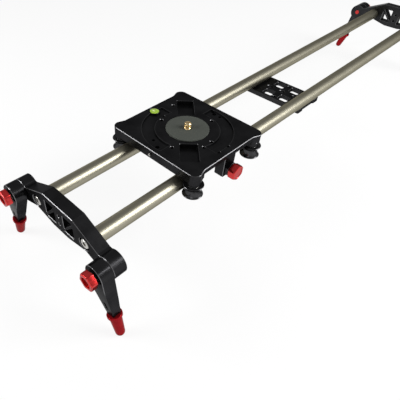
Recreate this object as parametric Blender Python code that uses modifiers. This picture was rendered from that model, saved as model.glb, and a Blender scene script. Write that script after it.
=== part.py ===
"""Camera slider: two round rails between arched end brackets, a carriage plate that
rolls on six grooved wheels, a tension ring, a brake and four folding legs.

Metres, +Z up. X runs along the rails, the near end is at -X, and the origin lies on
the floor under the middle of the rails."""

import math

import bmesh
import bpy
from mathutils import Matrix, Vector

# Clearances and shared sizes
FIT = 0.0003
OVERRUN = 0.002
EDGE_BREAK = 0.0007
WELD = 0.00001
FLAT = math.radians(1)

# Rails
RAIL_RADIUS = 0.0100
RAIL_WALL = 0.0025
RAIL_LENGTH = 0.884
RAIL_GAUGE = 0.092
RAIL_END_THREAD = 0.024

# End brackets, seen along the rails: y outwards from the middle, z from the rail axis
BRACKET_DEPTH = 0.0172
BRACKET_CROWN_HALF = 0.0285
BRACKET_CROWN_RISE = 0.0245
BRACKET_KEEL_HALF = 0.0145
BRACKET_KEEL_DROP = 0.0172
BRACKET_HIP_OUT = 0.0020
BRACKET_HIP_DROP = 0.0098
BOSS_RADIUS = 0.0145
BOSS_START = math.radians(130)
PIVOT_OUT = 0.0370
PIVOT_DROP = 0.0062
NOTCH_WIDTH = 0.0030
WINDOW_PLACE = 0.0175
WINDOW_HALF = 0.0093
WINDOW_TOP = 0.0155
WINDOW_BOTTOM = 0.0088
WINDOW_RIB_HIGH = 0.0056
WINDOW_RIB_LOW = 0.0032
TAPPED_HOLE_RADIUS = 0.0021
TAPPED_HOLE_HEIGHTS = (0.0085, -0.0040)

# Rail end screws, in a counterbore with a flanged head
RAIL_SCREW_RADIUS = 0.0040
RAIL_SCREW_HEAD_RADIUS = 0.0064
RAIL_SCREW_FLANGE_RADIUS = 0.0081
RAIL_SCREW_FLANGE = 0.0014
RAIL_SCREW_HEAD = 0.0038
RAIL_SCREW_RECESS = 0.0046
RAIL_SCREW_GRIP = 0.0180
RAIL_SCREW_KEY = 0.0030

# Legs: the arm hangs from its pivot and swings in front of the bracket
LEG_SPLAY = math.radians(16)
LEG_BOSS_DEPTH = 0.0163
LEG_LENGTH = 0.0625
LEG_END_HALF = 0.0056
LEG_FRONT_LEAN = 0.0043
LEG_BACK_LEAN = 0.0012
LEG_SLOT_RISE = 0.0105
LEG_SLOT_LENGTH = 0.0130
LEG_SLOT_WIDTH = 0.0040
PIVOT_BOLT_RADIUS = 0.0040

# Lock knobs
KNOB_RADIUS = 0.0118
KNOB_DEPTH = 0.0104
KNOB_CORNER = 0.0032
KNOB_RECESS_RADIUS = 0.0070
KNOB_RECESS = 0.0030
KNOB_KEY = 0.0030
KNOB_COLLAR = 0.0012
KNOB_COLLAR_RADIUS = 0.0075

# Feet on their threaded studs
STUD_RADIUS = 0.0030
STUD_IN_LEG = 0.0230
STUD_IN_FOOT = 0.0120
FOOT_LENGTH = 0.0363
FOOT_FLANGE_RADIUS = 0.0094
FOOT_FLANGE = 0.0032
FOOT_NECK_RADIUS = 0.0074
FOOT_NECK = 0.0016
FOOT_TIP_RADIUS = 0.0060

# Plate under the middle of the rails, x along them
MID_LENGTH = 0.0615
MID_WIDTH = 0.0998
MID_THICKNESS = 0.0078
MID_EAR_OUT = 0.0018
MID_EAR_RUN = 0.0130
MID_CORNER = 0.0012
MID_WINDOW = (0.0165, 0.0175)
MID_WINDOW_PLACE = (0.0170, 0.0145)
MID_WINDOW_CORNER = 0.0024
MID_BIG_HOLE_RADIUS = 0.0045
MID_BIG_HOLE_PITCH = 0.0244
MID_SMALL_HOLE_RADIUS = 0.0031
MID_SMALL_HOLE_OUT = 0.0235
MID_SCREW_OUT = 0.0238
MID_SCREW_RADIUS = 0.0023
MID_SCREW_HEAD_RADIUS = 0.0043
MID_SCREW_HEAD = 0.0036
MID_SCREW_GRIP = 0.0060
MID_SCREW_KEY = 0.0020

# Carriage, measured from its own middle on the rails' axis plane
CARRIAGE_FROM_END = 0.1960
WHEEL_X = 0.0595
PLATE_TOP = 0.0275
PLATE_THICKNESS = 0.0135
EAR_RADIUS = 0.0100
EAR_STEP = 0.0038
EAR_RUN = 0.0110
EAR_BOSS_DROP = 0.0042
EAR_BOSS_INSET = 0.0004
LIP_THICKNESS = 0.0070
LIP_INSIDE = 0.0010
LIP_END = 0.0480
PAD_RADIUS = 0.0296
PAD_THICKNESS = 0.0022
PAD_SUNK = 0.0010
CAMERA_SCREW_RADIUS = 0.00475
CAMERA_SCREW_RISE = 0.0080
CAMERA_SCREW_ROOT = 0.0085
CAMERA_SCREW_CHAMFER = 0.0008
ARC_POCKET_RADII = (0.0430, 0.0630)
ARC_POCKET_HALF_ANGLE = math.radians(31)
ARC_POCKET_DEPTH = 0.0022
STRAIGHT_POCKET_REACH = (0.0345, 0.0715)
STRAIGHT_POCKET_HALF = 0.0122
STRAIGHT_POCKET_DEPTH = 0.0068
POCKET_CORNER = 0.0020
TOP_HOLE_RADIUS = 0.0024
TOP_HOLE_DEPTH = 0.0060
TOP_HOLE_PLACES = (
    (-0.0110, 0.0385),
    (-0.0010, 0.0440),
    (0.0288, 0.0538),
    (0.0597, 0.0048),
    (0.0572, -0.0100),
    (0.0390, -0.0102),
    (0.0009, -0.0416),
    (0.0097, -0.0620),
    (-0.0088, -0.0619),
    (-0.0152, -0.0426),
    (-0.0455, -0.0149),
    (-0.0500, 0.0144),
)
END_HOLE_OUT = 0.0570
END_HOLE_RADIUS = 0.0030
SET_SCREW_RADIUS = 0.0019
SET_SCREW_LENGTH = 0.0090
SET_SCREW_PROUD = 0.0024
LEVEL_PLACE = (-0.0020, 0.0615)
LEVEL_RADIUS = 0.0082
LEVEL_RIM = 0.0012
LEVEL_DEPTH = 0.0040
LEVEL_DOME = 0.0006

# Grooved wheels, their axle screws and spacers
WHEEL_THROAT = 0.0102
WHEEL_FLANGE = 0.0134
WHEEL_HALF_HEIGHT = 0.0080
WHEEL_BORE = 0.0028
WHEEL_DISH_RADIUS = 0.0086
WHEEL_DISH = 0.0025
WHEEL_TOP_DISH = 0.0010
AXLE_RADIUS = 0.0025
AXLE_HEAD_RADIUS = 0.0048
AXLE_HEAD = 0.0027
AXLE_GRIP = 0.0075
AXLE_KEY = 0.0020
SPACER_RADIUS = 0.0046

# Tension ring under the plate
RING_OUTER = 0.0323
RING_INNER = 0.0210
RING_THICKNESS = 0.0034
RING_TURN = 0.0055
RING_SLOT_WIDTH = 0.0054
RING_SLOT_BEFORE = math.radians(11)
RING_SLOT_AFTER = math.radians(34)
RING_SCREW_RADIUS = 0.0020
RING_SCREW_HEAD_RADIUS = 0.0040
RING_SCREW_HEAD = 0.0022
RING_SCREW_GRIP = 0.0060

# Brake at the edge of the carriage
BRAKE_X = 0.0050
BRAKE_WIDTH = 0.0220
BRAKE_DROP = 0.0110
BRAKE_INSIDE = 0.0016
BRAKE_OUTSIDE = 0.0140
BRAKE_HEX = 0.0100
BRAKE_HEX_LENGTH = 0.0052
BRAKE_SHOE_RADIUS = 0.0050
BRAKE_SHOE_LENGTH = 0.0052
BRAKE_SHOE_GAP = 0.0006
BRAKE_TRAVEL = 0.0005
BRAKE_SCREW_RADIUS = 0.0030

# Shares of a screw head's height that its rim is chamfered by
PLAIN_RIM_SHARE = 0.3
FLANGED_RIM_SHARE = 0.15

# Facets of a full turn
FINE = 32
ROUND = 18
SMALL = 12
TINY = 10

# Worked-out places
TIP_REACH = LEG_LENGTH + FOOT_LENGTH - FOOT_TIP_RADIUS
AXIS_HEIGHT = PIVOT_DROP + TIP_REACH * math.cos(LEG_SPLAY) + FOOT_TIP_RADIUS
RAIL_Y = RAIL_GAUGE / 2
END_X = RAIL_LENGTH / 2 + FIT + BRACKET_DEPTH
CARRIAGE_REST = CARRIAGE_FROM_END - RAIL_LENGTH / 2
PIVOT_Y = RAIL_Y + PIVOT_OUT
PLATE_BOTTOM = PLATE_TOP - PLATE_THICKNESS
WHEEL_Y = RAIL_Y + RAIL_RADIUS + FIT + WHEEL_THROAT
INNER_WHEEL_Y = RAIL_Y - RAIL_RADIUS - FIT - WHEEL_THROAT
SIDE_Y = WHEEL_Y + EAR_RADIUS - EAR_STEP
CARRIAGE_END = WHEEL_X + EAR_RADIUS
BOSS_BOTTOM = PLATE_BOTTOM - EAR_BOSS_DROP
LIP_Y = RAIL_Y + RAIL_RADIUS + LIP_INSIDE
LIP_BOTTOM = PLATE_TOP - LIP_THICKNESS
RING_MID = math.hypot(RING_TURN, INNER_WHEEL_Y)
RING_TOP = PLATE_BOTTOM - FIT
RING_BOTTOM = RING_TOP - RING_THICKNESS
WHEEL_TOP = WHEEL_HALF_HEIGHT - WHEEL_TOP_DISH
STUD_TOP = LEG_LENGTH - STUD_IN_LEG


def clear_scene():
    for thing in list(bpy.data.objects):
        bpy.data.objects.remove(thing, do_unlink=True)


def new_collection(name):
    group = bpy.data.collections.new(name)
    bpy.context.scene.collection.children.link(group)
    return group


def new_material(name, colour, roughness, metallic):
    material = bpy.data.materials.new(name)
    material.use_nodes = True
    shader = material.node_tree.nodes["Principled BSDF"]
    shader.inputs["Base Color"].default_value = (*colour, 1.0)
    shader.inputs["Roughness"].default_value = roughness
    shader.inputs["Metallic"].default_value = metallic
    material.diffuse_color = (*colour, 1.0)
    return material


def frame(name, location, parent=None, rotation=(0, 0, 0)):
    """An empty that carries pieces, such as a pivot."""
    empty = bpy.data.objects.new(name, None)
    empty.location = location
    empty.rotation_euler = rotation
    empty.parent = parent
    PARTS.objects.link(empty)
    return empty


def place(name, mesh, material, parent, location=(0, 0, 0), rotation=(0, 0, 0)):
    """One piece of the slider."""
    piece = bpy.data.objects.new(name, mesh)
    piece.location = location
    piece.rotation_euler = rotation
    piece.parent = parent
    mesh.materials.clear()
    mesh.materials.append(material)
    mesh.shade_smooth()
    mesh.set_sharp_from_angle(angle=math.radians(32))
    PARTS.objects.link(piece)
    return piece


def tool(mesh, parent, location=(0, 0, 0), rotation=(0, 0, 0)):
    """A hidden shape that cuts or joins."""
    guide = bpy.data.objects.new("tool", mesh)
    guide.location = location
    guide.rotation_euler = rotation
    guide.parent = parent
    guide.hide_render = True
    guide.display_type = "WIRE"
    TOOLS.objects.link(guide)
    return guide


def combine(piece, guides, operation="DIFFERENCE"):
    """Cuts the guides out of the piece, or joins them to it."""
    for guide in guides:
        boolean = piece.modifiers.new(operation.title(), "BOOLEAN")
        boolean.operation = operation
        boolean.object = guide


def break_edges(piece, width=EDGE_BREAK):
    bevel = piece.modifiers.new("Edge break", "BEVEL")
    bevel.width = width
    bevel.segments = 1
    bevel.limit_method = "ANGLE"
    bevel.angle_limit = math.radians(40)


def finished(bm, name):
    """Turns an edit mesh into a mesh with its faces pointing out."""
    bmesh.ops.recalc_face_normals(bm, faces=bm.faces)
    mesh = bpy.data.meshes.new(name)
    bm.to_mesh(mesh)
    bm.free()
    return mesh


def cylinder(radius, length, sides=SMALL, turn=0.0):
    """A closed cylinder on the Z axis, from z = 0 up."""
    bm = bmesh.new()
    bmesh.ops.create_cone(bm, cap_ends=True, segments=sides, radius1=radius, radius2=radius, depth=length)
    bmesh.ops.rotate(bm, verts=bm.verts, cent=(0, 0, 0), matrix=Matrix.Rotation(turn, 3, "Z"))
    bmesh.ops.translate(bm, verts=bm.verts, vec=(0, 0, length / 2))
    return finished(bm, "cylinder")


def box(low, high):
    """A closed box between two corners."""
    low = Vector(low)
    high = Vector(high)
    bm = bmesh.new()
    bmesh.ops.create_cube(bm, size=1.0)
    bmesh.ops.scale(bm, verts=bm.verts, vec=high - low)
    bmesh.ops.translate(bm, verts=bm.verts, vec=(high + low) / 2)
    return finished(bm, "box")


def extruded(loops, low, high, name="outline"):
    """A flat outline in XY with its holes, as a solid from z = low to z = high."""
    curve = bpy.data.curves.new(name, "CURVE")
    curve.dimensions = "2D"
    curve.fill_mode = "BOTH"
    curve.extrude = (high - low) / 2
    for loop in loops:
        spline = curve.splines.new("POLY")
        spline.points.add(len(loop) - 1)
        for point, (x, y) in zip(spline.points, loop):
            point.co = (x, y, 0, 1)
        spline.use_cyclic_u = True
    holder = bpy.data.objects.new(name, curve)
    bpy.context.scene.collection.objects.link(holder)
    depsgraph = bpy.context.evaluated_depsgraph_get()
    filled = bpy.data.meshes.new_from_object(holder.evaluated_get(depsgraph))
    bm = bmesh.new()
    bm.from_mesh(filled)
    bmesh.ops.remove_doubles(bm, verts=bm.verts, dist=WELD)
    if len(loops) == 1:
        bmesh.ops.dissolve_limit(bm, angle_limit=FLAT, verts=bm.verts, edges=bm.edges)
    bmesh.ops.translate(bm, verts=bm.verts, vec=(0, 0, (low + high) / 2))
    bpy.data.objects.remove(holder, do_unlink=True)
    bpy.data.curves.remove(curve)
    return finished(bm, name)


def turned(name, profile, sides, closed=False):
    """A profile of (radius, z) points, down its outer side, turned about Z."""
    mesh = bpy.data.meshes.new(name)
    count = len(profile)
    edges = [(i, i + 1) for i in range(count - 1)]
    if closed:
        edges.append((count - 1, 0))
    mesh.from_pydata([(r, 0, z) for r, z in profile], edges, [])
    holder = bpy.data.objects.new(name, mesh)
    bpy.context.scene.collection.objects.link(holder)
    screw = holder.modifiers.new("Turn", "SCREW")
    screw.steps = sides
    screw.render_steps = sides
    screw.use_merge_vertices = True
    screw.merge_threshold = WELD
    depsgraph = bpy.context.evaluated_depsgraph_get()
    solid = bpy.data.meshes.new_from_object(holder.evaluated_get(depsgraph))
    solid.name = name
    bpy.data.objects.remove(holder, do_unlink=True)
    bpy.data.meshes.remove(mesh)
    return solid


def arc(centre, radius, start, end, steps):
    """Points along a circle, both ends included."""
    return [
        (centre[0] + radius * math.cos(a), centre[1] + radius * math.sin(a))
        for a in (start + (end - start) * i / steps for i in range(steps + 1))
    ]


def circle(centre, radius, sides=SMALL):
    return arc(centre, radius, 0, math.tau * (sides - 1) / sides, sides - 1)


def rounded(points, radius, steps=2):
    """A polygon with each corner rounded to the same radius."""
    loop = []
    for i, corner in enumerate(points):
        here = Vector(corner)
        before = (Vector(points[i - 1]) - here).normalized()
        after = (Vector(points[(i + 1) % len(points)]) - here).normalized()
        half = before.angle(after) / 2
        reach = radius / math.tan(half)
        centre = here + (before + after).normalized() * (radius / math.sin(half))
        first = here + before * reach - centre
        last = here + after * reach - centre
        swing = first.angle_signed(last)
        for step in range(steps + 1):
            spoke = first.copy()
            spoke.rotate(Matrix.Rotation(-swing * step / steps, 2))
            loop.append(tuple(centre + spoke))
    return loop


def rectangle(centre, width, height):
    x, y = centre
    return [
        (x - width / 2, y - height / 2),
        (x + width / 2, y - height / 2),
        (x + width / 2, y + height / 2),
        (x - width / 2, y + height / 2),
    ]


def mirrored(half):
    """An outline given on its +x side, top to bottom, closed by its mirror image."""
    return half + [(-x, y) for x, y in reversed(half)]


# Turns a local XY outline to face along X: its x becomes Y, its y becomes Z
ACROSS = (math.pi / 2, 0, math.pi / 2)
ALONG_X = (0, math.pi / 2, 0)
UPSIDE_DOWN = (math.pi, 0, 0)


def screw_mesh(name, head_radius, head, shank_radius, grip, key, flange=None):
    """A socket screw on Z: its head from z = 0 up, its shank down, a hex key hole in its top."""
    rim = head * (PLAIN_RIM_SHARE if flange is None else FLANGED_RIM_SHARE)
    profile = [(0, head), (head_radius - rim, head), (head_radius, head - rim)]
    if flange:
        flange_radius, thickness = flange
        profile += [(head_radius, thickness), (flange_radius, thickness), (flange_radius, 0)]
    else:
        profile += [(head_radius, 0)]
    profile += [(shank_radius, 0), (shank_radius, -grip), (0, -grip)]
    return turned(name, profile, SMALL if flange else TINY), key, head


def add_screw(name, parts, material, parent, location, rotation=(0, 0, 0)):
    """Places a screw and cuts its hex key hole."""
    mesh, key, head = parts
    screw = place(name, mesh.copy(), material, parent, location, rotation)
    depth = head / 2
    socket = tool(cylinder(key, depth + OVERRUN, 6), screw, (0, 0, head - depth))
    combine(screw, [socket])
    return screw


def rail(name, side):
    """A round tube, thick at its ends where the end screws hold, with two tapped holes below."""
    half = RAIL_LENGTH / 2
    thread = RAIL_SCREW_RADIUS + FIT
    bore = RAIL_RADIUS - RAIL_WALL
    step = half - RAIL_END_THREAD
    profile = [
        (RAIL_RADIUS - EDGE_BREAK, half),
        (RAIL_RADIUS, half - EDGE_BREAK),
        (RAIL_RADIUS, -half + EDGE_BREAK),
        (RAIL_RADIUS - EDGE_BREAK, -half),
        (thread, -half),
        (thread, -step),
        (bore, -step),
        (bore, step),
        (thread, step),
        (thread, half),
    ]
    mesh = turned(name, profile, FINE, closed=True)
    tube = place(name, mesh, RAIL_METAL, None, (0, side * RAIL_Y, AXIS_HEIGHT), ALONG_X)
    holes = [
        tool(
            cylinder(MID_SCREW_RADIUS + FIT, RAIL_RADIUS, TINY),
            None,
            (x, side * RAIL_Y, AXIS_HEIGHT - RAIL_RADIUS - OVERRUN),
        )
        for x in (-MID_SCREW_OUT, MID_SCREW_OUT)
    ]
    combine(tube, holes)


def bracket_outline():
    """The arched bracket seen along the rails, with a round boss at each end."""
    pivot = Vector((PIVOT_Y, -PIVOT_DROP))
    hip = Vector((RAIL_Y + BRACKET_HIP_OUT, -BRACKET_HIP_DROP))
    reach = pivot - hip
    underside = math.atan2(reach.y, reach.x) - math.asin(BOSS_RADIUS / reach.length)
    boss = arc(pivot, BOSS_RADIUS, BOSS_START, underside - math.pi / 2, 18)
    notch = (boss[0][0] - NOTCH_WIDTH, boss[0][1])
    half = [(BRACKET_CROWN_HALF, BRACKET_CROWN_RISE), notch] + boss
    half += [tuple(hip), (BRACKET_KEEL_HALF, -BRACKET_KEEL_DROP)]
    return mirrored(half)


def bracket_windows():
    """Two triangular openings on each side of the middle, with a slanted rib between."""
    loops = []
    for centre in (-WINDOW_PLACE, WINDOW_PLACE):
        inner = centre - WINDOW_HALF
        outer = centre + WINDOW_HALF
        upper = [(outer, WINDOW_TOP), (inner, WINDOW_TOP), (outer, -WINDOW_BOTTOM + WINDOW_RIB_LOW)]
        lower = [(inner, WINDOW_TOP - WINDOW_RIB_HIGH), (inner, -WINDOW_BOTTOM), (outer, -WINDOW_BOTTOM)]
        loops += [rounded(corners, EDGE_BREAK, 1) for corners in (upper, lower)]
    return loops


def bracket(name, end):
    loops = bracket_windows()
    for side in (-1, 1):
        loops.append(circle((side * RAIL_Y, 0), RAIL_SCREW_RADIUS + FIT))
        loops.append(circle((side * PIVOT_Y, -PIVOT_DROP), PIVOT_BOLT_RADIUS + FIT))
    for height in TAPPED_HOLE_HEIGHTS:
        loops.append(circle((0, height), TAPPED_HOLE_RADIUS, TINY))
    arch = extruded([bracket_outline()], 0, BRACKET_DEPTH, name)
    body = place(name, arch, BLACK_METAL, end, rotation=ACROSS)
    cuts = []
    for loop in loops:
        punch = extruded([loop], -OVERRUN, BRACKET_DEPTH + OVERRUN)
        cuts.append(tool(punch, end, rotation=ACROSS))
    recess = cylinder(RAIL_SCREW_FLANGE_RADIUS + FIT, RAIL_SCREW_RECESS + OVERRUN, ROUND)
    for side in (-1, 1):
        cuts.append(tool(recess.copy(), end, (-OVERRUN, side * RAIL_Y, 0), ALONG_X))
    combine(body, cuts)


def rail_screws(end, first):
    parts = screw_mesh(
        "rail_screw",
        RAIL_SCREW_HEAD_RADIUS,
        RAIL_SCREW_HEAD,
        RAIL_SCREW_RADIUS,
        BRACKET_DEPTH - RAIL_SCREW_RECESS + RAIL_SCREW_GRIP,
        RAIL_SCREW_KEY,
        (RAIL_SCREW_FLANGE_RADIUS, RAIL_SCREW_FLANGE),
    )
    for number, side in enumerate((-1, 1), first):
        seat = (RAIL_SCREW_RECESS - FIT, side * RAIL_Y, 0)
        add_screw(f"rail_screw_{number}", parts, STEEL, end, seat, (0, -math.pi / 2, 0))


def leg_outline():
    """Boss and tapering arm, tangent to each other, hanging down from the pivot."""
    lean = math.asin((BOSS_RADIUS - LEG_END_HALF) / LEG_LENGTH)
    boss = arc((0, 0), BOSS_RADIUS, -lean, math.pi + lean, 16)
    return [(LEG_END_HALF, -LEG_LENGTH)] + boss + [(-LEG_END_HALF, -LEG_LENGTH)]


def slot_outline(centre_y, width, length):
    """A slot with round ends, upright."""
    rise = (length - width) / 2
    top = arc((0, centre_y + rise), width / 2, 0, math.pi, 4)
    bottom = arc((0, centre_y - rise), width / 2, math.pi, math.tau, 4)
    return top + bottom


def leg_lean(face, outwards, lean):
    """The wedge that is taken off one face of the arm below its boss."""
    run = LEG_LENGTH - BOSS_RADIUS
    low = -LEG_LENGTH - OVERRUN
    outside = face + outwards * OVERRUN
    side = [
        (outside, -BOSS_RADIUS + OVERRUN * run / lean),
        (face - outwards * lean * (run + OVERRUN) / run, low),
        (outside, low),
    ]
    return extruded([side], -BOSS_RADIUS - OVERRUN, BOSS_RADIUS + OVERRUN)


def leg(number, end, side):
    """One leg with its lock knob, stud and foot, on the pivot of its bracket."""
    pivot = frame(f"leg_pivot_{number}", (0, side * PIVOT_Y, -PIVOT_DROP), end, (side * LEG_SPLAY, 0, 0))
    back = -FIT
    front = back - LEG_BOSS_DEPTH
    loops = [
        leg_outline(),
        circle((0, 0), PIVOT_BOLT_RADIUS + FIT),
        slot_outline(LEG_SLOT_RISE + LEG_SLOT_LENGTH / 2 - LEG_LENGTH, LEG_SLOT_WIDTH, LEG_SLOT_LENGTH),
    ]
    arm = place(f"leg_arm_{number}", extruded(loops, front, back), BLACK_METAL, pivot, rotation=ACROSS)
    stud_x = (front + LEG_FRONT_LEAN + back - LEG_BACK_LEAN) / 2
    wedges = [
        tool(leg_lean(front, -1, LEG_FRONT_LEAN), pivot, rotation=(math.pi / 2, 0, 0)),
        tool(leg_lean(back, 1, LEG_BACK_LEAN), pivot, rotation=(math.pi / 2, 0, 0)),
    ]
    hole = tool(
        cylinder(STUD_RADIUS + FIT, STUD_IN_LEG + FIT + OVERRUN),
        pivot,
        (stud_x, 0, -LEG_LENGTH - OVERRUN),
    )
    combine(arm, wedges + [hole])
    lock_knob(number, pivot, front)
    foot(number, pivot, stud_x)


def knob_outline(radius, corner):
    return rounded(arc((0, 0), radius, math.pi / 6, math.tau - math.pi / 6, 5), corner)


def lock_knob(number, pivot, front):
    """A six-sided knob on its bolt, with a round recess and a key hole in its face."""
    seat = front - FIT
    face = seat - KNOB_DEPTH
    mesh = extruded([knob_outline(KNOB_RADIUS, KNOB_CORNER)], face, seat - KNOB_COLLAR)
    knob = place(f"lock_knob_{number}", mesh, RED_METAL, pivot, rotation=ACROSS)
    break_edges(knob)
    collar = tool(
        cylinder(KNOB_COLLAR_RADIUS, KNOB_COLLAR + OVERRUN, ROUND),
        pivot,
        (seat - KNOB_COLLAR - OVERRUN, 0, 0),
        ALONG_X,
    )
    bolt_length = KNOB_DEPTH / 2 - seat + BRACKET_DEPTH
    bolt = tool(cylinder(PIVOT_BOLT_RADIUS, bolt_length), pivot, (face + KNOB_DEPTH / 2, 0, 0), ALONG_X)
    combine(knob, [collar, bolt], "UNION")
    recess = tool(
        cylinder(KNOB_RECESS_RADIUS, KNOB_RECESS + OVERRUN),
        pivot,
        (face - OVERRUN, 0, 0),
        ALONG_X,
    )
    socket = tool(
        cylinder(KNOB_KEY, KNOB_RECESS + KNOB_KEY + OVERRUN, 6),
        pivot,
        (face - OVERRUN, 0, 0),
        ALONG_X,
    )
    combine(knob, [recess, socket])


def foot(number, pivot, x):
    """The stud in the arm and the foot that turns on it, down to a round tip."""
    top = -LEG_LENGTH - FIT
    stud = turned(
        "foot_stud",
        [
            (0, -STUD_TOP),
            (STUD_RADIUS, -STUD_TOP),
            (STUD_RADIUS, top - STUD_IN_FOOT),
            (0, top - STUD_IN_FOOT),
        ],
        TINY,
    )
    place(f"foot_stud_{number}", stud, STEEL, pivot, (x, 0, 0))
    tip = -LEG_LENGTH - FOOT_LENGTH + FOOT_TIP_RADIUS
    bore = STUD_RADIUS + FIT
    bottom = top - STUD_IN_FOOT - FIT
    neck = top - FOOT_FLANGE - FOOT_NECK
    profile = [
        (0, bottom),
        (bore, bottom),
        (bore, top),
        (FOOT_FLANGE_RADIUS, top),
        (FOOT_FLANGE_RADIUS, top - FOOT_FLANGE),
        (FOOT_NECK_RADIUS, neck),
    ]
    steps = 4
    for i in range(steps, -1, -1):
        angle = math.pi / 2 * i / steps
        profile.append((FOOT_TIP_RADIUS * math.sin(angle), tip - FOOT_TIP_RADIUS * math.cos(angle)))
    place(f"foot_{number}", turned("foot", profile, SMALL), RED_METAL, pivot, (x, 0, 0))


def mid_plate():
    """The plate under the middle of the rails, with windows and tapped holes."""
    half_x = MID_LENGTH / 2
    half_y = MID_WIDTH / 2
    ear_x = half_x - MID_EAR_RUN
    quarter = [
        (ear_x - MID_EAR_OUT, half_y),
        (ear_x, half_y + MID_EAR_OUT),
        (half_x - MID_CORNER, half_y + MID_EAR_OUT),
        (half_x, half_y + MID_EAR_OUT - MID_CORNER),
    ]
    lower = [(x, -y) for x, y in reversed(quarter)]
    outline = mirrored(quarter + lower)
    loops = []
    for sx in (-1, 1):
        for sy in (-1, 1):
            centre = (sx * MID_WINDOW_PLACE[0], sy * MID_WINDOW_PLACE[1])
            loops.append(rounded(rectangle(centre, *MID_WINDOW), MID_WINDOW_CORNER, 2))
        loops.append(circle((sx * MID_SMALL_HOLE_OUT, 0), MID_SMALL_HOLE_RADIUS))
    for step in (-1, 0, 1):
        loops.append(circle((0, step * MID_BIG_HOLE_PITCH), MID_BIG_HOLE_RADIUS))
    top = AXIS_HEIGHT - RAIL_RADIUS - FIT
    bottom = top - MID_THICKNESS
    plate = place("centre_plate", extruded([outline], bottom, top), BLACK_METAL, None)
    combine(plate, [tool(extruded([loop], bottom - OVERRUN, top + OVERRUN), None) for loop in loops])
    seat_z = bottom + MID_SCREW_HEAD
    bore = turned(
        "counterbore",
        [
            (0, top + OVERRUN),
            (MID_SCREW_RADIUS + FIT, top + OVERRUN),
            (MID_SCREW_RADIUS + FIT, seat_z + FIT),
            (MID_SCREW_HEAD_RADIUS + FIT, seat_z + FIT),
            (MID_SCREW_HEAD_RADIUS + FIT, bottom - OVERRUN),
            (0, bottom - OVERRUN),
        ],
        TINY,
    )
    parts = screw_mesh(
        "plate_screw",
        MID_SCREW_HEAD_RADIUS,
        MID_SCREW_HEAD,
        MID_SCREW_RADIUS,
        MID_THICKNESS - MID_SCREW_HEAD + MID_SCREW_GRIP - FIT,
        MID_SCREW_KEY,
    )
    number = 0
    for sx in (-1, 1):
        for sy in (-1, 1):
            number += 1
            spot = (sx * MID_SCREW_OUT, sy * RAIL_Y)
            combine(plate, [tool(bore.copy(), None, (*spot, 0))])
            add_screw(f"plate_screw_{number}", parts, STEEL, None, (*spot, seat_z), UPSIDE_DOWN)


def carriage_outline():
    """The carriage from above: an ear round each wheel axle, stepped long edges."""
    ear = (WHEEL_X, WHEEL_Y)
    corner = [(WHEEL_X - EAR_RUN, SIDE_Y)]
    corner += arc(ear, EAR_RADIUS, math.pi / 2, 0, 6)
    lower = [(x, -y) for x, y in reversed(corner)]
    return mirrored(corner + lower)


def arc_pocket(angle):
    """A kidney-shaped pocket about the middle."""
    inner, outer = ARC_POCKET_RADII
    low = angle - ARC_POCKET_HALF_ANGLE
    high = angle + ARC_POCKET_HALF_ANGLE
    return arc((0, 0), outer, low, high, 12) + arc((0, 0), inner, high, low, 10)


def straight_pocket(angle):
    """A rounded rectangle that points away from the middle."""
    near, far = STRAIGHT_POCKET_REACH
    shape = rectangle(((near + far) / 2, 0), far - near, 2 * STRAIGHT_POCKET_HALF)
    turn = Matrix.Rotation(angle, 2)
    return [tuple(turn @ Vector(point)) for point in rounded(shape, POCKET_CORNER, 2)]


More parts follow.
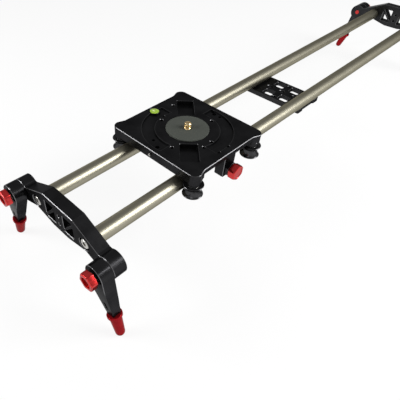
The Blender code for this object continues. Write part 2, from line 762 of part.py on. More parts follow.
def carriage_plate(body):
    slab = extruded([carriage_outline()], PLATE_BOTTOM, PLATE_TOP)
    plate = place("carriage_plate", slab, BLACK_METAL, body)
    break_edges(plate)
    joined = []
    cuts = []
    boss = cylinder(EAR_RADIUS - EAR_BOSS_INSET, EAR_BOSS_DROP + OVERRUN, ROUND)
    axle = cylinder(AXLE_RADIUS + FIT, EAR_BOSS_DROP + AXLE_GRIP + FIT + OVERRUN, TINY)
    for sx in (-1, 1):
        for sy in (-1, 1):
            joined.append(tool(boss.copy(), body, (sx * WHEEL_X, sy * WHEEL_Y, BOSS_BOTTOM)))
            cuts.append(tool(axle.copy(), body, (sx * WHEEL_X, sy * WHEEL_Y, BOSS_BOTTOM - OVERRUN)))
    for side in (-1, 1):
        low, high = sorted((side * LIP_Y, side * (SIDE_Y + OVERRUN)))
        relief = box((-LIP_END, low, PLATE_BOTTOM - OVERRUN), (LIP_END, high, LIP_BOTTOM))
        cuts.append(tool(relief, body))
        clamp = cylinder(RING_SCREW_RADIUS + FIT, RING_SCREW_GRIP + FIT + OVERRUN, TINY)
        cuts.append(tool(clamp, body, (side * RING_MID, 0, PLATE_BOTTOM - OVERRUN)))
        through = cylinder(END_HOLE_RADIUS, PLATE_THICKNESS + 2 * OVERRUN)
        cuts.append(tool(through, body, (side * END_HOLE_OUT, 0, PLATE_BOTTOM - OVERRUN)))
        thread = cylinder(SET_SCREW_RADIUS + FIT, CARRIAGE_END - END_HOLE_OUT + OVERRUN, TINY)
        start = (side * END_HOLE_OUT, 0, set_screw_height())
        cuts.append(tool(thread, body, start, (0, side * math.pi / 2, 0)))
    pockets = [
        (PAD_SUNK, [circle((0, 0), PAD_RADIUS + FIT, FINE)]),
        (CAMERA_SCREW_ROOT, [circle((0, 0), CAMERA_SCREW_RADIUS + FIT)]),
        (ARC_POCKET_DEPTH, [arc_pocket(math.radians(a)) for a in (135, 315)]),
        (STRAIGHT_POCKET_DEPTH, [straight_pocket(math.radians(a)) for a in (45, 225)]),
        (TOP_HOLE_DEPTH, [circle(spot, TOP_HOLE_RADIUS, TINY) for spot in TOP_HOLE_PLACES]),
        (LEVEL_DEPTH, [circle(LEVEL_PLACE, LEVEL_RADIUS + FIT)]),
    ]
    for depth, loops in pockets:
        for loop in loops:
            cuts.append(tool(extruded([loop], PLATE_TOP - depth, PLATE_TOP + OVERRUN), body))
    combine(plate, joined, "UNION")
    combine(plate, cuts)


def set_screw_height():
    return PLATE_BOTTOM + PLATE_THICKNESS / 2


def carriage_top(body):
    """Camera pad, camera screw and spirit level."""
    pad_bottom = PLATE_TOP - PAD_SUNK + FIT
    pad_top = pad_bottom + PAD_THICKNESS
    hole = CAMERA_SCREW_RADIUS + FIT
    ring = [
        (PAD_RADIUS - EDGE_BREAK, pad_top),
        (PAD_RADIUS, pad_top - EDGE_BREAK),
        (PAD_RADIUS, pad_bottom),
        (hole, pad_bottom),
        (hole, pad_top),
    ]
    place("mount_pad", turned("mount_pad", ring, FINE, closed=True), RUBBER, body)
    top = pad_top + CAMERA_SCREW_RISE
    root = PLATE_TOP - CAMERA_SCREW_ROOT + FIT
    stud = [
        (0, top),
        (CAMERA_SCREW_RADIUS - CAMERA_SCREW_CHAMFER, top),
        (CAMERA_SCREW_RADIUS, top - CAMERA_SCREW_CHAMFER),
        (CAMERA_SCREW_RADIUS, root),
        (0, root),
    ]
    place("camera_screw", turned("camera_screw", stud, SMALL), BRASS, body)
    floor = PLATE_TOP - LEVEL_DEPTH + FIT
    inside = LEVEL_RADIUS - LEVEL_RIM
    rim = [
        (LEVEL_RADIUS, PLATE_TOP + FIT),
        (LEVEL_RADIUS, floor),
        (inside, floor),
        (inside, PLATE_TOP + FIT),
    ]
    place("level_rim", turned("level_rim", rim, ROUND, closed=True), STEEL, body, (*LEVEL_PLACE, 0))
    lens = inside - FIT
    vial = [
        (0, PLATE_TOP + LEVEL_DOME),
        (lens / 2, PLATE_TOP + LEVEL_DOME),
        (lens, PLATE_TOP),
        (lens, floor),
        (0, floor),
    ]
    place("level_vial", turned("level_vial", vial, ROUND), LEVEL_GREEN, body, (*LEVEL_PLACE, 0))


def end_set_screws(body):
    for number, side in enumerate((-1, 1), 1):
        mesh = cylinder(SET_SCREW_RADIUS, SET_SCREW_LENGTH, TINY)
        start = side * (CARRIAGE_END + SET_SCREW_PROUD - SET_SCREW_LENGTH)
        place(
            f"end_set_screw_{number}",
            mesh,
            STEEL,
            body,
            (start, 0, set_screw_height()),
            (0, side * math.pi / 2, 0),
        )


def wheel_mesh():
    """A wheel with a round groove that follows the rail, dished on both faces."""
    groove = RAIL_RADIUS + FIT
    centre = WHEEL_THROAT + groove
    side = math.acos((centre - WHEEL_FLANGE) / groove)
    steps = 4
    bottom = -WHEEL_HALF_HEIGHT
    profile = [(WHEEL_DISH_RADIUS, WHEEL_HALF_HEIGHT), (WHEEL_FLANGE, WHEEL_HALF_HEIGHT)]
    for i in range(steps + 1):
        angle = side - 2 * side * i / steps
        profile.append((centre - groove * math.cos(angle), groove * math.sin(angle)))
    profile += [
        (WHEEL_FLANGE, bottom),
        (WHEEL_DISH_RADIUS, bottom),
        (WHEEL_DISH_RADIUS - EDGE_BREAK, bottom + WHEEL_DISH),
        (WHEEL_BORE, bottom + WHEEL_DISH),
        (WHEEL_BORE, WHEEL_TOP),
        (WHEEL_DISH_RADIUS - EDGE_BREAK, WHEEL_TOP),
    ]
    return turned("wheel", profile, ROUND, closed=True)


def wheel_screw(bottom_of_seat):
    """The axle screw's sizes, for a thread that starts at the given height."""
    head_seat = -WHEEL_HALF_HEIGHT + WHEEL_DISH - FIT
    return screw_mesh(
        "axle_screw",
        AXLE_HEAD_RADIUS,
        AXLE_HEAD,
        AXLE_RADIUS,
        bottom_of_seat - head_seat + AXLE_GRIP,
        AXLE_KEY,
    )


def outer_wheels(body):
    parts = wheel_screw(BOSS_BOTTOM)
    mesh = wheel_mesh()
    seat = -WHEEL_HALF_HEIGHT + WHEEL_DISH - FIT
    spacer_profile = [
        (SPACER_RADIUS, BOSS_BOTTOM - FIT),
        (SPACER_RADIUS, WHEEL_TOP + FIT),
        (WHEEL_BORE, WHEEL_TOP + FIT),
        (WHEEL_BORE, BOSS_BOTTOM - FIT),
    ]
    number = 0
    for sx in (-1, 1):
        for sy in (-1, 1):
            number += 1
            axle = frame(f"wheel_axle_{number}", (sx * WHEEL_X, sy * WHEEL_Y, 0), body)
            place(f"wheel_{number}", mesh.copy(), WHEEL_BLACK, axle)
            add_screw(f"axle_screw_{number}", parts, STEEL, axle, (0, 0, seat), UPSIDE_DOWN)
            place(f"axle_spacer_{number}", turned("spacer", spacer_profile, TINY, closed=True), STEEL, axle)


def ring_slot(centre_angle):
    """A curved slot in the tension ring, longer on one side of its screw."""
    start = centre_angle - RING_SLOT_BEFORE
    end = centre_angle + RING_SLOT_AFTER
    half = RING_SLOT_WIDTH / 2
    head = (RING_MID * math.cos(end), RING_MID * math.sin(end))
    tail = (RING_MID * math.cos(start), RING_MID * math.sin(start))
    points = arc((0, 0), RING_MID + half, start, end, 7)
    points += arc(head, half, end, end + math.pi, 5)[1:-1]
    points += arc((0, 0), RING_MID - half, end, start, 7)
    points += arc(tail, half, start + math.pi, start + math.tau, 5)[1:-1]
    return points


def tension_ring(body):
    """The slotted ring with its two inner wheels, clamped by two screws."""
    loops = [circle((0, 0), radius, FINE) for radius in (RING_OUTER, RING_INNER)]
    loops += [ring_slot(0), ring_slot(math.pi)]
    places = [(RING_TURN, -INNER_WHEEL_Y), (-RING_TURN, INNER_WHEEL_Y)]
    ring = place("tension_ring", extruded(loops, RING_BOTTOM, RING_TOP), RING_METAL, body)
    seat = -WHEEL_HALF_HEIGHT + WHEEL_DISH - FIT
    neck_bottom = WHEEL_TOP + FIT
    neck = cylinder(SPACER_RADIUS, RING_BOTTOM + RING_THICKNESS / 2 - neck_bottom)
    bore = cylinder(AXLE_RADIUS + FIT, RING_TOP - neck_bottom + 2 * OVERRUN, TINY)
    combine(ring, [tool(neck.copy(), body, (*spot, neck_bottom)) for spot in places], "UNION")
    combine(ring, [tool(bore.copy(), body, (*spot, neck_bottom - OVERRUN)) for spot in places])
    parts = screw_mesh(
        "inner_axle_screw",
        AXLE_HEAD_RADIUS,
        AXLE_HEAD,
        AXLE_RADIUS,
        RING_TOP - seat,
        AXLE_KEY,
    )
    for number, spot in enumerate(places, 1):
        axle = frame(f"inner_axle_{number}", (*spot, 0), body)
        place(f"inner_wheel_{number}", wheel_mesh(), WHEEL_BLACK, axle)
        add_screw(f"inner_axle_screw_{number}", parts, STEEL, axle, (0, 0, seat), UPSIDE_DOWN)
    clamp = screw_mesh(
        "ring_screw",
        RING_SCREW_HEAD_RADIUS,
        RING_SCREW_HEAD,
        RING_SCREW_RADIUS,
        RING_THICKNESS + 2 * FIT + RING_SCREW_GRIP,
        RING_SCREW_RADIUS / 2,
    )
    for number, side in enumerate((-1, 1), 1):
        spot = (side * RING_MID, 0, RING_BOTTOM - FIT)
        add_screw(f"ring_screw_{number}", clamp, STEEL, body, spot, UPSIDE_DOWN)


def brake(body):
    """Block, shoe and knob that press on the near-side rail."""
    rail_side = -(RAIL_Y + RAIL_RADIUS)
    inside = rail_side - BRAKE_INSIDE
    outside = inside - BRAKE_OUTSIDE
    axis = frame("brake_axis", (BRAKE_X, 0, 0), body)
    half = BRAKE_WIDTH / 2
    block = place(
        "brake_block",
        box((-half, outside, -BRAKE_DROP), (half, inside, LIP_BOTTOM - FIT)),
        BLACK_METAL,
        axis,
    )
    break_edges(block)
    hexagon = tool(
        cylinder(BRAKE_HEX, BRAKE_HEX_LENGTH + BRAKE_OUTSIDE / 2, 6, math.pi / 6),
        axis,
        (0, outside + BRAKE_OUTSIDE / 2, 0),
        (math.pi / 2, 0, 0),
    )
    combine(block, [hexagon], "UNION")
    shoe_front = rail_side - BRAKE_SHOE_GAP
    shoe_back = shoe_front - BRAKE_SHOE_LENGTH
    wide = tool(
        cylinder(BRAKE_SHOE_RADIUS + FIT, OVERRUN + inside - shoe_back + FIT),
        axis,
        (0, inside + OVERRUN, 0),
        (math.pi / 2, 0, 0),
    )
    narrow = tool(
        cylinder(BRAKE_SCREW_RADIUS + FIT, BRAKE_OUTSIDE + BRAKE_HEX_LENGTH + 2 * OVERRUN),
        axis,
        (0, inside + OVERRUN, 0),
        (math.pi / 2, 0, 0),
    )
    combine(block, [wide, narrow])
    shoe = cylinder(BRAKE_SHOE_RADIUS, BRAKE_SHOE_LENGTH)
    place("brake_shoe", shoe, NYLON, axis, (0, shoe_front, 0), (math.pi / 2, 0, 0))
    face = outside - BRAKE_HEX_LENGTH - FIT - BRAKE_TRAVEL
    knob_mesh = extruded([knob_outline(KNOB_RADIUS, KNOB_CORNER)], 0, KNOB_DEPTH)
    knob = place("brake_knob", knob_mesh, RED_METAL, axis, (0, face, 0), (math.pi / 2, 0, 0))
    break_edges(knob)
    screw_length = shoe_back - FIT - face + KNOB_DEPTH / 2
    screw = tool(
        cylinder(BRAKE_SCREW_RADIUS, screw_length),
        axis,
        (0, shoe_back - FIT, 0),
        (math.pi / 2, 0, 0),
    )
    combine(knob, [screw], "UNION")
    recess = tool(
        cylinder(KNOB_RECESS_RADIUS, KNOB_RECESS + OVERRUN),
        axis,
        (0, face - KNOB_DEPTH + KNOB_RECESS, 0),
        (math.pi / 2, 0, 0),
    )
    combine(knob, [recess])


def carriage():
    body = frame("carriage", (CARRIAGE_REST, 0, AXIS_HEIGHT))
    carriage_plate(body)
    carriage_top(body)
    end_set_screws(body)
    outer_wheels(body)
    tension_ring(body)
    brake(body)


def end(name, x, turn, first):
    """A bracket with its screws and its two legs; the far end is the near one turned round."""
    here = frame(f"{name}_end", (x, 0, AXIS_HEIGHT), None, (0, 0, turn))
    bracket(f"{name}_bracket", here)
    rail_screws(here, first)
    leg(first, here, -1)
    leg(first + 1, here, 1)


clear_scene()
PARTS = new_collection("camera_slider")
TOOLS = new_collection("tools")
BLACK_METAL = new_material("black anodised metal", (0.012, 0.012, 0.014), 0.32, 0.85)
RAIL_METAL = new_material("titanium grey rail", (0.42, 0.40, 0.33), 0.30, 0.95)
RED_METAL = new_material("red anodised metal", (0.62, 0.02, 0.03), 0.25, 0.80)
STEEL = new_material("steel", (0.62, 0.61, 0.58), 0.25, 1.0)
RING_METAL = new_material("brushed ring metal", (0.68, 0.67, 0.63), 0.35, 1.0)
BRASS = new_material("brass", (0.78, 0.56, 0.22), 0.25, 1.0)
RUBBER = new_material("dark grey rubber", (0.070, 0.078, 0.070), 0.75, 0.0)
WHEEL_BLACK = new_material("black wheel", (0.015, 0.015, 0.016), 0.22, 0.1)
NYLON = new_material("nylon", (0.10, 0.10, 0.10), 0.5, 0.0)
LEVEL_GREEN = new_material("level liquid", (0.55, 0.75, 0.05), 0.1, 0.0)

for rail_name, rail_side in (("rail_left", 1), ("rail_right", -1)):
    rail(rail_name, rail_side)
end("near", -END_X, 0.0, 1)
end("far", END_X, math.pi, 3)
mid_plate()
carriage()
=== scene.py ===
"""Camera slider: the finished look of every piece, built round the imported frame.

Two titanium-coloured rails between black arched end brackets, four folding legs with red
lock knobs and feet, and a milled carriage plate that rolls on six grooved wheels. Sizes are
in metres in the frame's own axes: X along the rails, the near end at -X, Z up."""

import math

import bmesh
import bpy
from bpy.props import FloatProperty, FloatVectorProperty, IntProperty, PointerProperty
from mathutils import Euler, Matrix, Vector


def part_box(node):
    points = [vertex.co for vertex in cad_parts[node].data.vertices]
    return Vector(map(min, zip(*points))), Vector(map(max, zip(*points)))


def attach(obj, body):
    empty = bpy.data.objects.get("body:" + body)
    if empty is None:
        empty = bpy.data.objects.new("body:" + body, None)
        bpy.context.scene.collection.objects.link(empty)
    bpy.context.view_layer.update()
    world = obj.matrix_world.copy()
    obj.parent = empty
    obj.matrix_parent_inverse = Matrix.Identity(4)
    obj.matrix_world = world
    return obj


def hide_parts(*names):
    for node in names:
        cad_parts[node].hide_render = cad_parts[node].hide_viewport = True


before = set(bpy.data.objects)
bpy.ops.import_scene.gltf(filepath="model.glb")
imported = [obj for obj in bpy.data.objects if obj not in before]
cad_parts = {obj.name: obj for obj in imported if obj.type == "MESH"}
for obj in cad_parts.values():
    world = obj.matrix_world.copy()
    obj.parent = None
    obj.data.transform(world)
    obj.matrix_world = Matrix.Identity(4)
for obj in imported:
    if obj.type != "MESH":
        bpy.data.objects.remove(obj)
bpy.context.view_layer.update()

bl_info = {
    "name": "Camera slider",
    "version": (1, 0, 0),
    "blender": (4, 5, 0),
    "location": "View3D > Sidebar > Slider",
    "description": "Builds a camera slider with rails, carriage, legs and brake",
    "category": "Add Mesh",
}


def middle(node):
    low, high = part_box(node)
    return (low + high) / 2


def extent(node):
    low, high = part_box(node)
    return high - low


# Places that the frame gives
AXIS_Z = middle("rail_left").z
RAIL_Y = middle("rail_left").y
RAIL_RADIUS = extent("rail_left").z / 2
RAIL_HALF = extent("rail_left").x / 2
BRACKET_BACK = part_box("far_bracket")[0].x
BRACKET_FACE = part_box("far_bracket")[1].x
CARRIAGE_X = middle("carriage_plate").x
WHEEL_X = middle("wheel_3").x - CARRIAGE_X
WHEEL_Y = middle("wheel_4").y
INNER_WHEEL = middle("inner_wheel_1") - Vector((CARRIAGE_X, 0, AXIS_Z))
PLATE_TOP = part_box("carriage_plate")[1].z - AXIS_Z
RING_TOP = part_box("tension_ring")[1].z - AXIS_Z
KNOB_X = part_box("lock_knob_1")[0].x


def number(name, default, description, **settings):
    return FloatProperty(name=name, default=default, description=description, **{"min": 0.0, **settings})


def size(name, default, description):
    return number(name, default, description, unit="LENGTH", precision=5)


def colour(name, default, description):
    limits = {"size": 3, "min": 0.0, "max": 1.0}
    return FloatVectorProperty(name=name, default=default, description=description, subtype="COLOR", **limits)


class SliderFinish(bpy.types.PropertyGroup):
    """Colours and surface of the slider."""

    black: colour("Black anodising", (0.026, 0.026, 0.0275), "Colour of the milled black pieces")
    titanium: colour("Rail colour", (0.33, 0.312, 0.245), "Colour of the two rails")
    red: colour("Red anodising", (0.60, 0.028, 0.027), "Colour of the knobs")
    # The feet's red is the knobs' red made deeper, as painted shade
    foot_red: colour("Foot colour", (0.30, 0.008, 0.012), "Colour of the feet, a deeper red")
    steel: colour("Stainless steel", (0.50, 0.49, 0.46), "Colour of screws and spacers")
    brass: colour("Brass", (0.86, 0.68, 0.38), "Colour of the camera screw")
    rubber: colour("Pad rubber", (0.050, 0.055, 0.047), "Colour of the round pad")
    liquid: colour("Level liquid", (0.32, 0.50, 0.035), "Colour of the liquid in the level")
    # Brightness of the bare chamfers: partly wear, partly a painted highlight along the edges
    wear_and_highlight: number("Edge wear", 0.45, "How bright the chamfers are", max=1.0)
    edge: size("Edge break", 0.0006, "Width of the chamfer along milled edges")
    facets: IntProperty(name="Facets", default=96, min=24, max=256, description="Sides of a large round")


class SliderFrame(bpy.types.PropertyGroup):
    """Rails, end brackets and the plate between the rails."""

    wall: size("Rail wall", 0.0025, "Wall of the rail tubes")
    crown_half: size("Crown half width", 0.0285, "Half the flat crown of a bracket")
    crown_rise: size("Crown rise", 0.0245, "Height of the crown over the rail axis")
    keel_half: size("Keel half width", 0.0145, "Half the flat keel of a bracket")
    keel_drop: size("Keel drop", 0.0172, "Depth of the keel below the rail axis")
    hip_out: size("Hip reach", 0.0020, "How far out from the rail the hip lies")
    hip_drop: size("Hip drop", 0.0098, "Depth of the hip below the rail axis")
    boss: size("Boss radius", 0.0145, "Radius of the round boss at each pivot")
    notch: size("Notch width", 0.0030, "Flat between the shoulder and the boss")
    pivot_y: size("Pivot reach", 0.0830, "Distance of the leg pivots from the middle")
    pivot_drop: size("Pivot drop", 0.0062, "Depth of the leg pivots below the rail axis")
    window_place: size("Window place", 0.0175, "Distance of each window pair from the middle")
    window_half: size("Window half width", 0.0093, "Half the width of a window pair")
    window_top: size("Window top", 0.0155, "Upper edge of the bracket windows")
    window_bottom: size("Window bottom", 0.0088, "Lower edge of the bracket windows below the axis")
    rib_high: size("Rib high end", 0.0056, "Height of the slanted rib at its high end")
    rib_low: size("Rib low end", 0.0032, "Height of the slanted rib at its low end")
    seat_radius: size("Screw seat radius", 0.0084, "Radius of the recess for a rail screw")
    seat_depth: size("Screw seat depth", 0.0046, "Depth of the recess for a rail screw")
    ear_run: size("Tripod plate ear", 0.0130, "Length of the tripod plate's ears")
    opening_x: size("Tripod plate window length", 0.0165, "Length of a window in the tripod plate")
    opening_y: size("Tripod plate window width", 0.0175, "Width of a window in the tripod plate")
    opening_far_x: size("Tripod plate window reach", 0.0170, "How far a window lies along the rails")
    opening_far_y: size("Tripod plate window spread", 0.0145, "How far a window lies across the rails")
    thread_pitch: size("Large thread pitch", 0.0244, "Distance between the three large threads")
    small_thread: size("Small thread reach", 0.0235, "Distance of the small threads from the middle")


class SliderCarriage(bpy.types.PropertyGroup):
    """The milled plate, its pad and what it rolls on."""

    thickness: size("Plate thickness", 0.0135, "Thickness of the carriage plate")
    ear: size("Ear radius", 0.0100, "Radius of the ear round a wheel axle")
    ear_step: size("Ear step", 0.0038, "How far an ear stands out of the long edge")
    ear_run: size("Ear run", 0.0110, "Length of the slant behind an ear")
    lip: size("Lip thickness", 0.0070, "Thickness of the relieved long edges")
    pad_radius: size("Pad radius", 0.0296, "Radius of the round pad")
    pad_rise: size("Pad rise", 0.0015, "How far the pad stands proud")
    arc_inner: size("Arc pocket inner radius", 0.0445, "Inner radius of the curved pockets")
    arc_outer: size("Arc pocket outer radius", 0.0620, "Outer radius of the curved pockets")
    arc_start: size("Arc pocket start", 0.0127, "Where a curved pocket starts, along the rails")
    arc_end: size("Arc pocket end", 0.0094, "Where a curved pocket ends, across the rails")
    arc_depth: size("Arc pocket depth", 0.0022, "Depth of the curved pockets")
    pocket_near: size("Pocket start", 0.0345, "Where the straight pockets start")
    pocket_far: size("Pocket end", 0.0715, "Where the straight pockets end")
    pocket_half: size("Pocket half width", 0.0122, "Half the width of the straight pockets")
    pocket_depth: size("Pocket depth", 0.0068, "Depth of the straight pockets")
    hole: size("Small hole radius", 0.0022, "Radius of the small tapped holes")
    throat: size("Wheel throat", 0.0102, "Radius of a wheel at the bottom of its groove")
    flange: size("Wheel flange", 0.0134, "Radius of a wheel at its flanges")
    wheel_half: size("Wheel half height", 0.0080, "Half the height of a wheel")


class SliderLegs(bpy.types.PropertyGroup):
    """Folding legs, lock knobs and feet."""

    splay: number("Splay", math.radians(16), "Angle of the legs", subtype="ANGLE", min=-math.pi)
    depth: size("Boss depth", 0.0163, "Depth of a leg's boss along the rails")
    length: size("Arm length", 0.0625, "From the pivot to the end of the arm")
    end_half: size("Arm end half width", 0.0056, "Half the width of the arm's end")
    front_lean: size("Front lean", 0.0043, "How far the arm's front leans back at its end")
    back_lean: size("Back lean", 0.0012, "How far the arm's back leans forward at its end")
    slot_rise: size("Slot rise", 0.0105, "From the arm's end to its slot")
    slot_length: size("Slot length", 0.0130, "Length of the arm's slot")
    slot_width: size("Slot width", 0.0040, "Width of the arm's slot")
    knob: size("Knob radius", 0.0118, "Radius of a knob over its corners")
    knob_depth: size("Knob depth", 0.0104, "Depth of a knob with its washer")
    washer: size("Washer radius", 0.0075, "Radius of the washer behind a knob")
    washer_depth: size("Washer thickness", 0.0012, "Thickness of the washer behind a knob")
    foot_length: size("Foot length", 0.0363, "From the arm's end to the foot's tip")
    foot_flange: size("Foot flange radius", 0.0094, "Radius of the foot's flange")
    foot_tip: size("Foot tip radius", 0.0060, "Radius of the foot's tip")


class SliderStage(bpy.types.PropertyGroup):
    """Floor, lights and camera."""

    floor: colour("Floor colour", (0.90, 0.90, 0.90), "Colour of the floor")
    key: number("Key light", 26.0, "Power of the main soft light", unit="POWER")
    rim: number("Rim light", 11.0, "Power of the light for the edges", unit="POWER")
    fill: number("Fill light", 2.0, "Power of the fill light", unit="POWER")
    lens: number("Lens", 36.13, "Focal length in millimetres", min=1.0)


# Outlines and meshes

# The two sides of each end, the near end first, and the four corners of a plate
ENDS = ((False, -1), (False, 1), (True, -1), (True, 1))
CORNERS = ((-1, -1), (-1, 1), (1, -1), (1, 1))
# How far a cutter reaches beyond a face, and the gap between pieces that fit
OVERRUN = 0.002
CLEARANCE = 0.0003
FINE_EDGE = 0.0003


def arc(centre, radius, start, end, steps):
    spread = [start + (end - start) * i / steps for i in range(steps + 1)]
    return [(centre[0] + radius * math.cos(a), centre[1] + radius * math.sin(a)) for a in spread]


def ring_loop(radius, sides, centre=(0, 0)):
    return arc(centre, radius, 0, math.tau * (sides - 1) / sides, sides - 1)


def hexagon(radius):
    """A hexagon with flats at right and left."""
    return swung(ring_loop(radius, 6), math.pi / 6)


def rectangle(left, low, right, high):
    return [(left, low), (right, low), (right, high), (left, high)]


def mirrored(points, x=1, y=1):
    """The points, then their mirror image in reverse."""
    return points + [(x * a, y * b) for a, b in reversed(points)]


def swung(loop, angle):
    turn = Matrix.Rotation(angle, 2)
    return [tuple(turn @ Vector(point)) for point in loop]


def dome(radius, base, rise, steps):
    """A quarter of an ellipse from the axis out to the rim."""
    spread = [math.pi / 2 * i / steps for i in range(steps + 1)]
    return [(radius * math.sin(a), base + rise * math.cos(a)) for a in spread]


def fillet(before, corner, after, radius, steps, share=math.inf):
    """The points that round a corner; they reach over a share of each side at most."""
    here = Vector(corner)
    before, after = Vector(before) - here, Vector(after) - here
    half = before.angle(after) / 2
    reach = min(radius / math.tan(half), before.length * share, after.length * share)
    before.normalize()
    after.normalize()
    centre = here + (before + after).normalized() * (reach / math.cos(half))
    first = here + before * reach - centre
    swing = first.angle_signed(here + after * reach - centre)
    points = []
    for step in range(steps + 1):
        spoke = first.copy()
        spoke.rotate(Matrix.Rotation(-swing * step / steps, 2))
        points.append(tuple(centre + spoke))
    return points


def rounded(points, radius, steps=6):
    """A closed outline with its corners rounded; radius may be one value or one for each corner."""
    radii = radius if isinstance(radius, list) else [radius] * len(points)
    loop = []
    for i, corner in enumerate(points):
        loop += fillet(points[i - 1], corner, points[(i + 1) % len(points)], radii[i], steps)
    return loop


def soft_profile(points, radii, steps=4):
    """An open run of points with a fillet of its own radius at each corner; 0 keeps a corner."""
    result = []
    for i, radius in enumerate(radii):
        if radius > 0:
            result += fillet(points[i - 1], points[i], points[i + 1], radius, steps, 0.49)
        else:
            result.append(points[i])
    return result


def area(loop):
    return sum(a[0] * b[1] - b[0] * a[1] for a, b in zip(loop, loop[1:] + loop[:1])) / 2


def grown(loop, amount):
    """The outline moved outwards by an amount, corner by corner."""
    turn = 1 if area(loop) > 0 else -1
    result = []
    for i, point in enumerate(loop):
        here = Vector(point)
        a = (here - Vector(loop[i - 1])).normalized()
        b = (Vector(loop[(i + 1) % len(loop)]) - here).normalized()
        bisector = (Vector((a.y, -a.x)) + Vector((b.y, -b.x))) * turn
        result.append(tuple(here + bisector * (2 * amount / bisector.length_squared)))
    return result


def closed(bm):
    bmesh.ops.recalc_face_normals(bm, faces=bm.faces)
    mesh = bpy.data.meshes.new("mesh")
    bm.to_mesh(mesh)
    bm.free()
    return mesh


def loft(*levels):
    """A closed solid through (outline, z) levels with the same number of points each."""
    bm = bmesh.new()
    rings = [[bm.verts.new((x, y, z)) for x, y in loop] for loop, z in levels]
    for low, high in zip(rings, rings[1:]):
        count = len(low)
        for i in range(count):
            j = (i + 1) % count
            bm.faces.new((low[i], low[j], high[j], high[i]))
    bm.faces.new(rings[0][::-1])
    bm.faces.new(rings[-1])
    return closed(bm)


def prism(loop, low, high):
    return loft((loop, low), (loop, high))


def plate(loop, low, high, edge):
    """A flat piece with chamfered rims."""
    inner = grown(loop, -edge)
    return loft((inner, low), (loop, low + edge), (loop, high - edge), (inner, high))


def blind_cut(loop, floor, mouth, edge, over=OVERRUN, slope=1.0):
    """A cutter for a pocket with a chamfered mouth, which may lie above or below the floor."""
    way = 1 if mouth > floor else -1
    wide = grown(loop, edge)
    return loft((loop, floor), (loop, mouth - way * edge * slope), (wide, mouth), (wide, mouth + way * over))


def through_cut(loop, low, high, edge):
    """A cutter for an opening with a chamfer at both faces."""
    wide = grown(loop, edge)
    lower = (wide, low - OVERRUN), (wide, low), (loop, low + edge)
    return loft(*lower, (loop, high - edge), (wide, high), (wide, high + OVERRUN))


def lathe(profile, sides, ring=False):
    """Turns (radius, z) points about Z. A ring joins the last point to the first."""
    bm = bmesh.new()
    rows = []
    for radius, z in profile:
        spots = ring_loop(radius, sides) if radius > 1e-7 else [(0, 0)]
        rows.append([bm.verts.new((x, y, z)) for x, y in spots])
    pairs = list(zip(rows, rows[1:]))
    if ring:
        pairs.append((rows[-1], rows[0]))
    for upper, lower in pairs:
        for i in range(sides):
            j = (i + 1) % sides
            corners = [row[k % len(row)] for row, k in ((upper, i), (upper, j), (lower, j), (lower, i))]
            unique = list(dict.fromkeys(corners))
            if len(unique) > 2:
                bm.faces.new(unique)
    return closed(bm)


def rod(radius, low, high, sides):
    """A plain round rod about Z."""
    return lathe([(0, high), (radius, high), (radius, low), (0, low)], sides)


def moved(mesh, matrix):
    mesh.transform(matrix)
    if matrix.determinant() < 0:
        mesh.flip_normals()
    return mesh


def at(x=0.0, y=0.0, z=0.0):
    return Matrix.Translation((x, y, z))


def turned(angle, axis):
    return Matrix.Rotation(angle, 4, axis)


def placed(name, data):
    thing = bpy.data.objects.new(name, data)
    bpy.context.scene.collection.objects.link(thing)
    return thing


def evaluated(thing):
    """The object's mesh with its modifiers applied; the object goes."""
    depsgraph = bpy.context.evaluated_depsgraph_get()
    depsgraph.update()
    result = bpy.data.meshes.new_from_object(thing.evaluated_get(depsgraph))
    bpy.data.objects.remove(thing, do_unlink=True)
    return result


def shaped(mesh, cuts=(), joins=()):
    """The mesh with other meshes joined to it and cut out of it."""
    holder = placed("work", mesh)
    helpers = []
    for meshes, operation in ((joins, "UNION"), (cuts, "DIFFERENCE")):
        for other in meshes:
            helpers.append(placed("helper", other))
            modifier = holder.modifiers.new(operation, "BOOLEAN")
            modifier.operation = operation
            modifier.solver = "EXACT"
            modifier.object = helpers[-1]
    result = evaluated(holder)
    for helper in helpers:
        bpy.data.objects.remove(helper, do_unlink=True)
    return result


def joined(meshes):
    """Several meshes as one, each keeping its own materials."""
    bm = bmesh.new()
    materials = []
    for mesh in meshes:
        first = len(bm.faces)
        bm.from_mesh(mesh)
        bm.faces.ensure_lookup_table()
        materials += [material for material in mesh.materials if material not in materials]
        lookup = [materials.index(material) for material in mesh.materials]
        for face in bm.faces[first:]:
            face.material_index = lookup[face.material_index]
    mesh = bpy.data.meshes.new("joined")
    bm.to_mesh(mesh)
    bm.free()
    for material in materials:
        mesh.materials.append(material)
    return mesh


def highlight_marked(mesh, share=1.0):
    """The mesh with its chamfers marked by how they slant against Z, for bare-metal wear with a painted
    highlight; the share says how bright they are.
    """
    marks = mesh.attributes.new("chamfer", "FLOAT", "FACE")
    tilts = [abs(face.normal.z) for face in mesh.polygons]
    steep, flat, level = 0.4, 0.9, 0.97
    # Chamfers that tilt up or down get the painted edge highlight in full, shallow slopes less of it
    values = [1.0 if steep < z < flat else 0.45 if flat <= z < level else 0.0 for z in tilts]
    marks.data.foreach_set("value", [share * value for value in values])
    return mesh


def painted(mesh, material):
    mesh.materials.clear()
    mesh.materials.append(material)
    return mesh


def add_piece(name, mesh, material, body, nodes=(), matrix=None):
    """Puts a finished piece in its place, hangs it on its body and hides the frame's nodes that it stands for.
    """
    if matrix is not None:
        moved(mesh, matrix)
    if material is not None:
        painted(mesh, finish(material))
    mesh.name = name
    mesh.shade_smooth()
    mesh.set_sharp_from_angle(angle=math.radians(32))
    piece = placed(name, mesh)
    piece.modifiers.new("Weighted normals", "WEIGHTED_NORMAL").keep_sharp = True
    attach(piece, body)
    if nodes:
        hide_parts(*nodes)


# Frames for outlines seen along the rails: local x is Y, local y is Z, local z is X
ACROSS = Euler((math.pi / 2, 0, math.pi / 2)).to_matrix().to_4x4()
CARRIAGE = at(CARRIAGE_X, 0, AXIS_Z)


